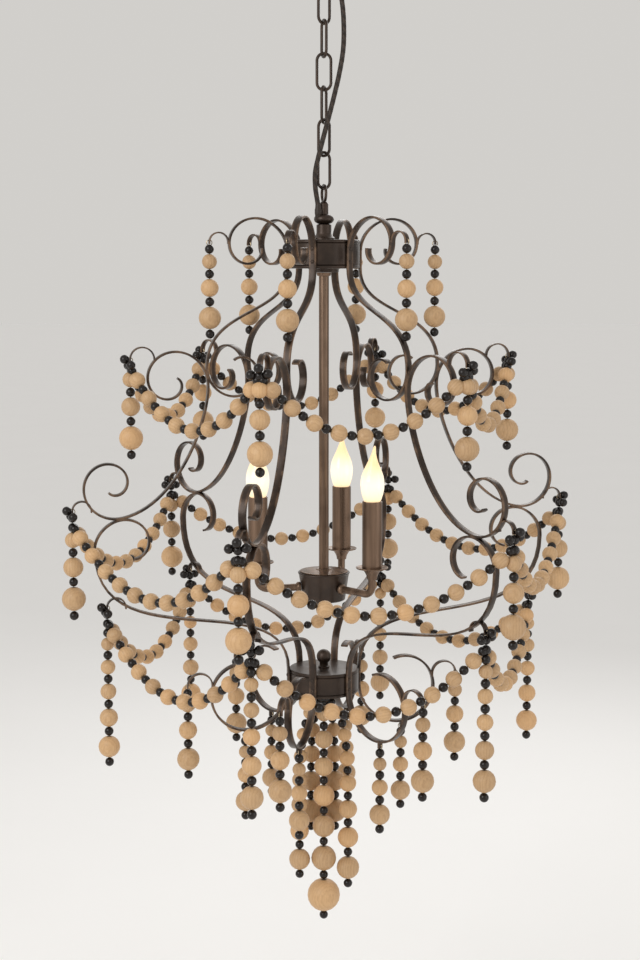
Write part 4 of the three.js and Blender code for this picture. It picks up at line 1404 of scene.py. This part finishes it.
class CHANDELIER_OT_column(Build, bpy.types.Operator):
    """Neck, hubs, centre tube and ball nut"""

    bl_idname = "chandelier.column"
    bl_label = "Column"

    def make(self, scene, sizes):
        self.neck()
        self.gland()
        self.hub()
        low = TUBE_LOW.z
        high = TUBE_HIGH.z
        turned("column_tube", TUBE, [(0, low), (TUBE_RADIUS, low), (TUBE_RADIUS, high), (0, high)], "bronze",
               "centre_tube")
        low = LOWER_HUB_LOW.z
        high = LOWER_HUB_HIGH.z
        turned("lower_hub_drum", BRONZE, [(0, low), *self.drum(low, high), (0, high)], "bronze", "lower_hub",
               sides=72, sharp=40)
        self.nut()
        self.screws(sizes.strip_thickness)

    def neck(self):
        middle = NECK_HIGH.z - LOOP_WIRE - LOOP_INSIDE
        top = middle - LOOP_INSIDE - LOOP_WIRE / 2
        bulge = top - NECK_STEM_LENGTH
        under = bulge - NECK_BULGE_HEIGHT
        foot = NECK_LOW.z
        outline = [(0, foot), (NECK_FOOT_RADIUS, foot), (NECK_FOOT_RADIUS, foot + NECK_RIM_HEIGHT)]
        for t in shares(8):
            radius = mixed(NECK_BODY_RADIUS, NECK_FOOT_RADIUS - NECK_STEP, (1 - t) ** NECK_FLARE_POWER)
            outline.append((radius, mixed(foot + NECK_TAPER, (foot + under) / 2, t)))
        outline.append((NECK_BODY_RADIUS, under - NECK_STEP))
        for t in shares(10):
            angle = math.radians(160 * t - 80)
            radius = mixed(NECK_BODY_RADIUS * NECK_TUCK_SHARE, NECK_BULGE_RADIUS, math.cos(angle))
            outline.append((radius, (bulge + under) / 2 + NECK_BULGE_HEIGHT / 2 * math.sin(angle)))
        outline += [(NECK_STEM_RADIUS, bulge), (NECK_STEM_RADIUS, top - NECK_TAPER),
                    (NECK_STEM_RADIUS * NECK_TOP_SHARE, top), (0, top + LOOP_WIRE / 2)]
        eye = ring(LOOP_INSIDE + LOOP_WIRE / 2, LOOP_WIRE / 2)
        turn = CHAIN_TURN * (LINK_COUNT + 1 - FRONT_LINK)
        shape = Shape(BRONZE).add(lathe(outline, 48)).add(eye, turn=turn, offset=(0, 0, middle))
        settle(shape.piece("neck_turning", 45), "hung_lamp", "bronze", "neck_loop")

    def gland(self):
        """A soft bush where the cable enters the neck's shoulder."""
        wall = [(GLAND_RADIUS * width, GLAND_HEIGHT * height) for width, height in GLAND_SHARES]
        outline = [(0, -GLAND_ROOT), (GLAND_RADIUS * GLAND_ROOT_SHARE, -GLAND_ROOT), *wall, (0, GLAND_HEIGHT)]
        turned("cable_bush", CABLE, eased(outline, FLANGE_EDGE), "cable", sides=24, offset=CABLE_ROUTE[-1])

    def drum(self, low, high):
        """A hub's outline from its bottom rim to its top, with a scribed line near each rim."""
        rim = HUB_RADIUS - HUB_EDGE
        outline = arc((rim, low + HUB_EDGE), HUB_EDGE, -90, 0, 6)
        for height in (low + HUB_GROOVE_INSET, high - HUB_GROOVE_INSET):
            outline += [(HUB_RADIUS, height - HUB_GROOVE), (HUB_RADIUS - HUB_GROOVE, height),
                        (HUB_RADIUS, height + HUB_GROOVE)]
        return outline + arc((rim, high - HUB_EDGE), HUB_EDGE, 0, 90, 6)

    def hub(self):
        low = HUB_LOW.z
        flare, drop = FLANGE_FLARE
        flange = eased([(0, low), (FLANGE_RADIUS, low), (FLANGE_RADIUS, HUB_BOTTOM - drop),
                        (FLANGE_RADIUS + flare, HUB_BOTTOM),
                        (HUB_RADIUS - HUB_EDGE, HUB_BOTTOM)], FLANGE_EDGE)
        outline = [*flange, *self.drum(HUB_BOTTOM, HUB_HIGH.z), (0, HUB_HIGH.z)]
        turned("hub_drum", BRONZE, outline, "bronze", "upper_hub", sides=72, sharp=40)
        collar = eased([(TUBE_RADIUS + past, low + rise) for past, rise in TUBE_COLLAR], COLLAR_EDGE)
        turned("tube_collar", TUBE, collar, "bronze", sides=40)

    def nut(self):
        low = NUT_LOW.z
        centre = low + NUT_STACK_HEIGHT + NUT_BALL_RADIUS
        start = -math.degrees(math.acos(NUT_STACK_RADIUS / NUT_BALL_RADIUS))
        foot = [(NUT_STACK_RADIUS + past, low + rise) for past, rise in NUT_FOOT]
        ball = arc((0, centre), NUT_BALL_RADIUS, start, 89, 20)
        outline = [(0, low), *foot, *ball, (0, centre + NUT_BALL_RADIUS)]
        turned("finial_ball", BRONZE, outline, "bronze", "ball_nut", sides=40, sharp=50)

    def screws(self, thickness):
        """Two screw heads on each strip at each hub."""
        reach = HUB_RADIUS + STRIP_GAP + thickness
        places = [outward(reach, height, angle) for angle in ARM_ANGLES for height in SCREW_HEIGHTS]
        out = [outward(1, 0, angle) for angle in ARM_ANGLES for _ in SCREW_HEIGHTS]
        piece = realized("strip_screws", point_mesh("screw_points", places, out), screw_heads,
                         {"Radius": SCREW_RADIUS, "Finish": material(BRONZE)})
        settle(piece, "hung_lamp", "bronze")


class CHANDELIER_OT_lamps(Build, bpy.types.Operator):
    """Lamp cup, lamp arms, pans, holders, sleeves and bulbs"""

    bl_idname = "chandelier.lamps"
    bl_label = "Candle Lamps"

    def make(self, scene, sizes):
        self.cup()
        self.cover()
        for number, angle in enumerate(LAMP_ANGLES, 1):
            offset = outward(LAMP_RADIUS, 0, angle)
            self.arm(number, angle)
            self.pan(number, offset)
            self.holder(number, offset)
            self.sleeve(number, offset)
            self.bulb(number, angle, offset)

    def cup(self):
        low = CUP_LOW.z
        bottom = low + CUP_BOSS_HEIGHT
        top = CUP_HIGH.z
        rim = CUP_TOP_RADIUS - CUP_BEAD
        wall = eased([(0, low), (CUP_BOSS_RADIUS * CUP_BOSS_TIP_SHARE, low),
                      (CUP_BOSS_RADIUS, low + CUP_BOSS_STEP), (CUP_BOSS_RADIUS, bottom),
                      (CUP_BOTTOM_RADIUS, bottom), (rim, top - 3 * CUP_BEAD)], CUP_EDGE)
        outline = [*wall, *arc((rim, top - CUP_BEAD), CUP_BEAD, -60, 90, 7), (0, top)]
        turned("cup_shell", BRONZE, outline, "bronze", "lamp_cup", sides=64, sharp=40)

    def cover(self):
        low = COVER_LOW.z
        high = COVER_HIGH.z
        inset, drop = COVER_BOSS_STEP
        outline = [(0, low), *arc((COVER_RADIUS - COVER_EDGE, low + COVER_EDGE), COVER_EDGE, -90, 90, 6)]
        for t in shares(8):
            rise = 1 - (1 - t) ** 2
            outline.append((mixed(COVER_RADIUS - COVER_STEP, COVER_BOSS_RADIUS, t),
                            mixed(low + 2 * COVER_EDGE, high - drop, rise)))
        outline += [(COVER_BOSS_RADIUS - inset, high), (0, high)]
        turned("cup_lid", TUBE, outline, "bronze", "cup_cover", sides=64, sharp=40)

    def arm(self, number, angle):
        height = CUP_HIGH.z - LAMP_ARM_DROP
        depth = (LAMP_ARM_DROP - LAMP_ARM_TUBE) / (CUP_HIGH.z - CUP_LOW.z - CUP_BOSS_HEIGHT)
        root = Vector((mixed(CUP_TOP_RADIUS, CUP_BOTTOM_RADIUS, depth) + STRIP_GAP, 0, height))
        path = [root]
        for t in shares(14):
            turn = t * math.pi / 2
            reach = LAMP_RADIUS - LAMP_ELBOW_RADIUS * (1 - math.sin(turn))
            path.append(Vector((reach, 0, height + LAMP_ELBOW_RADIUS * (1 - math.cos(turn)))))
        path.append(Vector((LAMP_RADIUS, 0, PAN_LOW.z - STRIP_GAP)))
        points, faces = lathe(eased([
            (0, 0), (LAMP_COLLAR_RADIUS, 0), (LAMP_COLLAR_RADIUS, LAMP_COLLAR_LENGTH * LAMP_COLLAR_SHARE),
            (LAMP_ARM_TUBE, LAMP_COLLAR_LENGTH), (0, LAMP_COLLAR_LENGTH)], SOFT_EDGE), 28)
        lay = Matrix.Rotation(math.pi / 2, 3, "Y")
        collar = [lay @ point + root for point in points], faces
        shape = Shape(TUBE).add(sweep(path, lambda i: circle(LAMP_ARM_TUBE, 20)), turn=angle)
        piece = shape.add(collar, turn=angle).piece(f"lamp_tube_{number}")
        settle(piece, "hung_lamp", "bronze", f"lamp_arm_{number}")

    def pan(self, number, offset):
        low = PAN_LOW.z
        rim = PAN_HIGH.z
        cone = low - PAN_CONE_HEIGHT
        neck, neck_rise = PAN_NECK
        lip = PAN_RADIUS - PAN_LIP
        outline = [(LAMP_ARM_TUBE + past, cone + rise) for past, rise in PAN_FOOT]
        for t in shares(6):
            outline.append((mixed(LAMP_ARM_TUBE + neck, PAN_CONE_RADIUS, t ** PAN_CONE_POWER),
                            mixed(cone + neck_rise, low - 2 * HAIR, t)))
        outline += [(SLEEVE_RADIUS, low + HAIR), (lip, rim - PAN_WALL - 2 * HAIR)]
        outline += arc((lip, rim - PAN_LIP - HAIR), PAN_LIP, -60, 120, 6)
        outline += [(SLEEVE_RADIUS + PAN_WALL, low + PAN_WALL), (LAMP_ARM_TUBE, low + PAN_WALL)]
        turned(f"pan_turning_{number}", TUBE, outline, "bronze", f"drip_pan_{number}", sides=56, sharp=40,
               offset=offset)

    def holder(self, number, offset):
        low = HOLDER_LOW.z
        top = HOLDER_HIGH.z
        body = top - HOLDER_BODY_HEIGHT
        bore = CAP_RADIUS + HOLDER_PLAY
        seat = BULB_LOW.z - STRIP_GAP
        outline = eased([(0, low), (HOLDER_STEM_RADIUS, low), (HOLDER_STEM_RADIUS, body),
                         (HOLDER_RADIUS, body), (HOLDER_RADIUS, top), (bore, top), (bore, seat),
                         (0, seat)], HOLDER_EDGE)
        turned(f"holder_body_{number}", HOLDER, outline, "holder", f"lampholder_{number}", sides=36,
               offset=offset)

    def sleeve(self, number, offset):
        inner = SLEEVE_RADIUS - SLEEVE_WALL
        low = SLEEVE_LOW.z
        top = SLEEVE_HIGH.z
        outline = [(inner, low), (SLEEVE_RADIUS, low), (SLEEVE_RADIUS, top - SLEEVE_LIP)]
        outline += arc((SLEEVE_RADIUS - SLEEVE_WALL / 2, top - SLEEVE_BEAD), SLEEVE_BEAD, -40, 180, 8)
        outline.append((inner, top - SLEEVE_LIP + 2 * HAIR))
        turned(f"sleeve_tube_{number}", TUBE, outline, "sleeve", f"candle_sleeve_{number}", offset=offset)

    def bulb(self, number, angle, offset):
        low = BULB_LOW.z
        base = SLEEVE_HIGH.z
        path = [Vector((BULB_TIP_BEND * share ** 4, 0, base + BULB_GLASS_HEIGHT * share))
                for share, _ in BULB_SHARES]
        glass = sweep(path, lambda i: circle(BULB_RADIUS * BULB_SHARES[i][1], BULB_SIDES))
        heart = []
        for share, _ in BULB_SHARES:
            heart += [max(0.0, 1 - abs(share - HEART_SHARE) / HEART_FADE_SHARE)] * BULB_SIDES
        cap = [(radius, low + rise) for radius, rise in CAP_TIP]
        thread = base - low - CAP_THREAD_FREE
        for i, t in enumerate(shares(CAP_TURNS * CAP_THREAD_STEPS)):
            dip = .5 - .5 * math.cos(2 * math.pi * i / CAP_THREAD_STEPS)
            cap.append((CAP_RADIUS - CAP_THREAD_DEPTH * dip, low + CAP_THREAD_LOW + thread * t))
        cap += [(CAP_RADIUS + CAP_SKIRT, base - STRIP_GAP), (0, base - STRIP_GAP)]
        shape = Shape(GLASS, WIRE).add(glass, 0, angle, offset, heart=heart)
        piece = shape.add(lathe(cap, BULB_SIDES), 1, angle, offset).piece(f"flame_bulb_{number}", 60)
        settle(piece, f"bulb_{number}", "bulb_glass", f"bulb_{number}")


class CHANDELIER_OT_arms(Build, bpy.types.Operator):
    """The six scroll arms with their hooks"""

    bl_idname = "chandelier.arms"
    bl_label = "Scroll Arms"

    def make(self, scene, sizes):
        plan = ArmPlan(sizes)
        edge = sizes.hook_thickness * HOOK_EDGE_SHARE
        lug = [plan.lug_root - Vector((0, LUG_HEIGHT * share)) for share in LUG_SHARES]
        strip = (sizes.strip_width, sizes.strip_thickness, sizes.strip_edge)
        bodies = [strip_body(points, *strip) for points in plan.strips()]
        hook = (sizes.hook_width, sizes.hook_thickness, edge)
        bodies += [strip_body(plan.hook(name), *hook) for name in plan.roots]
        bodies.append(strip_body(lug, LUG_WIDTH, LUG_THICKNESS, edge))
        for number, angle in enumerate(ARM_ANGLES, 1):
            shape = Shape(BRONZE)
            for body, wear in bodies:
                shape.add(body, turn=angle, wear=wear)
            piece = shape.piece(f"scroll_strips_{number}", 50)
            settle(piece, "hung_lamp", "bronze", f"scroll_arm_{number}")


class CHANDELIER_OT_garlands(Build, bpy.types.Operator):
    """The three bead garlands: swags, drops and knots"""

    bl_idname = "chandelier.garlands"
    bl_label = "Garlands"

    def make(self, scene, sizes):
        plan = ArmPlan(sizes)
        for name, hook, swag, drop in (
            ("upper_garland", "elbow", UPPER_SWAG, UPPER_DROP),
            ("middle_garland", "foot", MIDDLE_SWAG, MIDDLE_DROP),
            ("lower_garland", "wrist", LOWER_SWAG, LOWER_DROP),
        ):
            self.garland(name, sizes, plan.tip(hook), swag, drop)

    def garland(self, name, sizes, tip, swag, drop):
        """A swag between each pair of neighbouring hooks, and a drop and a knot at each hook."""
        beads = Beads(sizes)
        count, start, lead = swag
        string = [sizes.swag_bead] * count
        full_length = stations(string, beads.black)[1]
        knots = [outward(tip.x, tip.y - KNOT_GAP - start, angle) for angle in ARM_ANGLES]
        for angle, knot, following in zip(ARM_ANGLES, knots, [*knots[1:], knots[0]]):
            beads.drop(tip, drop, angle, lead)
            beads.knot(tip, angle)
            beads.string(string, swag_place(knot, following, full_length))
        beads.settle(name, "hung_lamp")


class CHANDELIER_OT_drops(Build, bpy.types.Operator):
    """The loose drops under the crown, basket and inner hooks"""

    bl_idname = "chandelier.drops"
    bl_label = "Drops"

    def make(self, scene, sizes):
        plan = ArmPlan(sizes)
        drops = (("crown_drop", "crown", CROWN_DROP), ("basket_drop", "basket", BASKET_DROP),
                 ("inner_drop", "lug", INNER_DROP))
        for kind, hook, drop in drops:
            for number, angle in enumerate(ARM_ANGLES, 1):
                beads = Beads(sizes)
                beads.drop(plan.tip(hook), drop, angle)
                beads.settle(f"{kind}_{number}", f"{kind}_{number}")


class CHANDELIER_OT_tassel(Build, bpy.types.Operator):
    """The bead tassel under the lower hub"""

    bl_idname = "chandelier.tassel"
    bl_label = "Tassel"

    def make(self, scene, sizes):
        root = Vector((0, 0, LOWER_HUB_LOW.z - KNOT_GAP - TASSEL_KNOT_RADIUS))
        beads = Beads(sizes)
        beads.string(TASSEL_CENTRE, lambda at: root - UP * at)
        for angle, side in TASSEL_SIDES:
            beads.string(side, self.spread(root, angle))
        reach = TASSEL_KNOT_RADIUS - beads.black * TASSEL_KNOT_SINK_SHARE
        for i in range(TASSEL_KNOT_BEADS):
            out = outward(1, 0, 360 / TASSEL_KNOT_BEADS * i + TASSEL_KNOT_TURN)
            beads.put(root + out * reach, out)
        beads.put(root + UP * (TASSEL_KNOT_RADIUS - beads.black / 2), UP)
        beads.settle("tassel", "tassel")

    def spread(self, root, angle):
        """A side string runs out from the knot and then hangs straight."""

        def place(at):
            share = 1 - math.exp(-at / (TASSEL_SPREAD_DEPTH / 2))
            return outward(mixed(TASSEL_ROOT_RADIUS, TASSEL_SPREAD, share), 0, angle) + root - UP * at

        return place


class CHANDELIER_PT_build(bpy.types.Panel):
    """Builds the chandelier's parts"""

    bl_idname = "CHANDELIER_PT_build"
    bl_label = "Beaded Chandelier"
    bl_space_type = "VIEW_3D"
    bl_region_type = "UI"
    bl_category = "Chandelier"

    def draw(self, context):
        scene = context.scene
        for group in (scene.chandelier_sizes, scene.chandelier_colours, scene.chandelier_stage):
            box = self.layout.box()
            for name in group.__annotations__:
                box.prop(group, name)
        for operator in OPERATORS:
            self.layout.operator(operator.bl_idname)


GROUPS = (ChandelierSizes, ChandelierColours, ChandelierStage)
OPERATORS = (CHANDELIER_OT_stage, CHANDELIER_OT_cable, CHANDELIER_OT_ceiling, CHANDELIER_OT_chain,
             CHANDELIER_OT_column, CHANDELIER_OT_lamps, CHANDELIER_OT_arms, CHANDELIER_OT_garlands,
             CHANDELIER_OT_drops, CHANDELIER_OT_tassel)


def register():
    for cls in (*GROUPS, *OPERATORS, CHANDELIER_PT_build):
        bpy.utils.register_class(cls)
    bpy.types.Scene.chandelier_sizes = PointerProperty(type=ChandelierSizes)
    bpy.types.Scene.chandelier_colours = PointerProperty(type=ChandelierColours)
    bpy.types.Scene.chandelier_stage = PointerProperty(type=ChandelierStage)


def unregister():
    del bpy.types.Scene.chandelier_stage
    del bpy.types.Scene.chandelier_colours
    del bpy.types.Scene.chandelier_sizes
    for cls in reversed((*GROUPS, *OPERATORS, CHANDELIER_PT_build)):
        bpy.utils.unregister_class(cls)


def main():
    register()
    bpy.ops.chandelier.stage()
    bpy.ops.chandelier.cable()
    bpy.ops.chandelier.ceiling()
    bpy.ops.chandelier.chain()
    bpy.ops.chandelier.column()
    bpy.ops.chandelier.lamps()
    bpy.ops.chandelier.arms()
    bpy.ops.chandelier.garlands()
    bpy.ops.chandelier.drops()
    bpy.ops.chandelier.tassel()


if __name__ == "__main__":
    main()
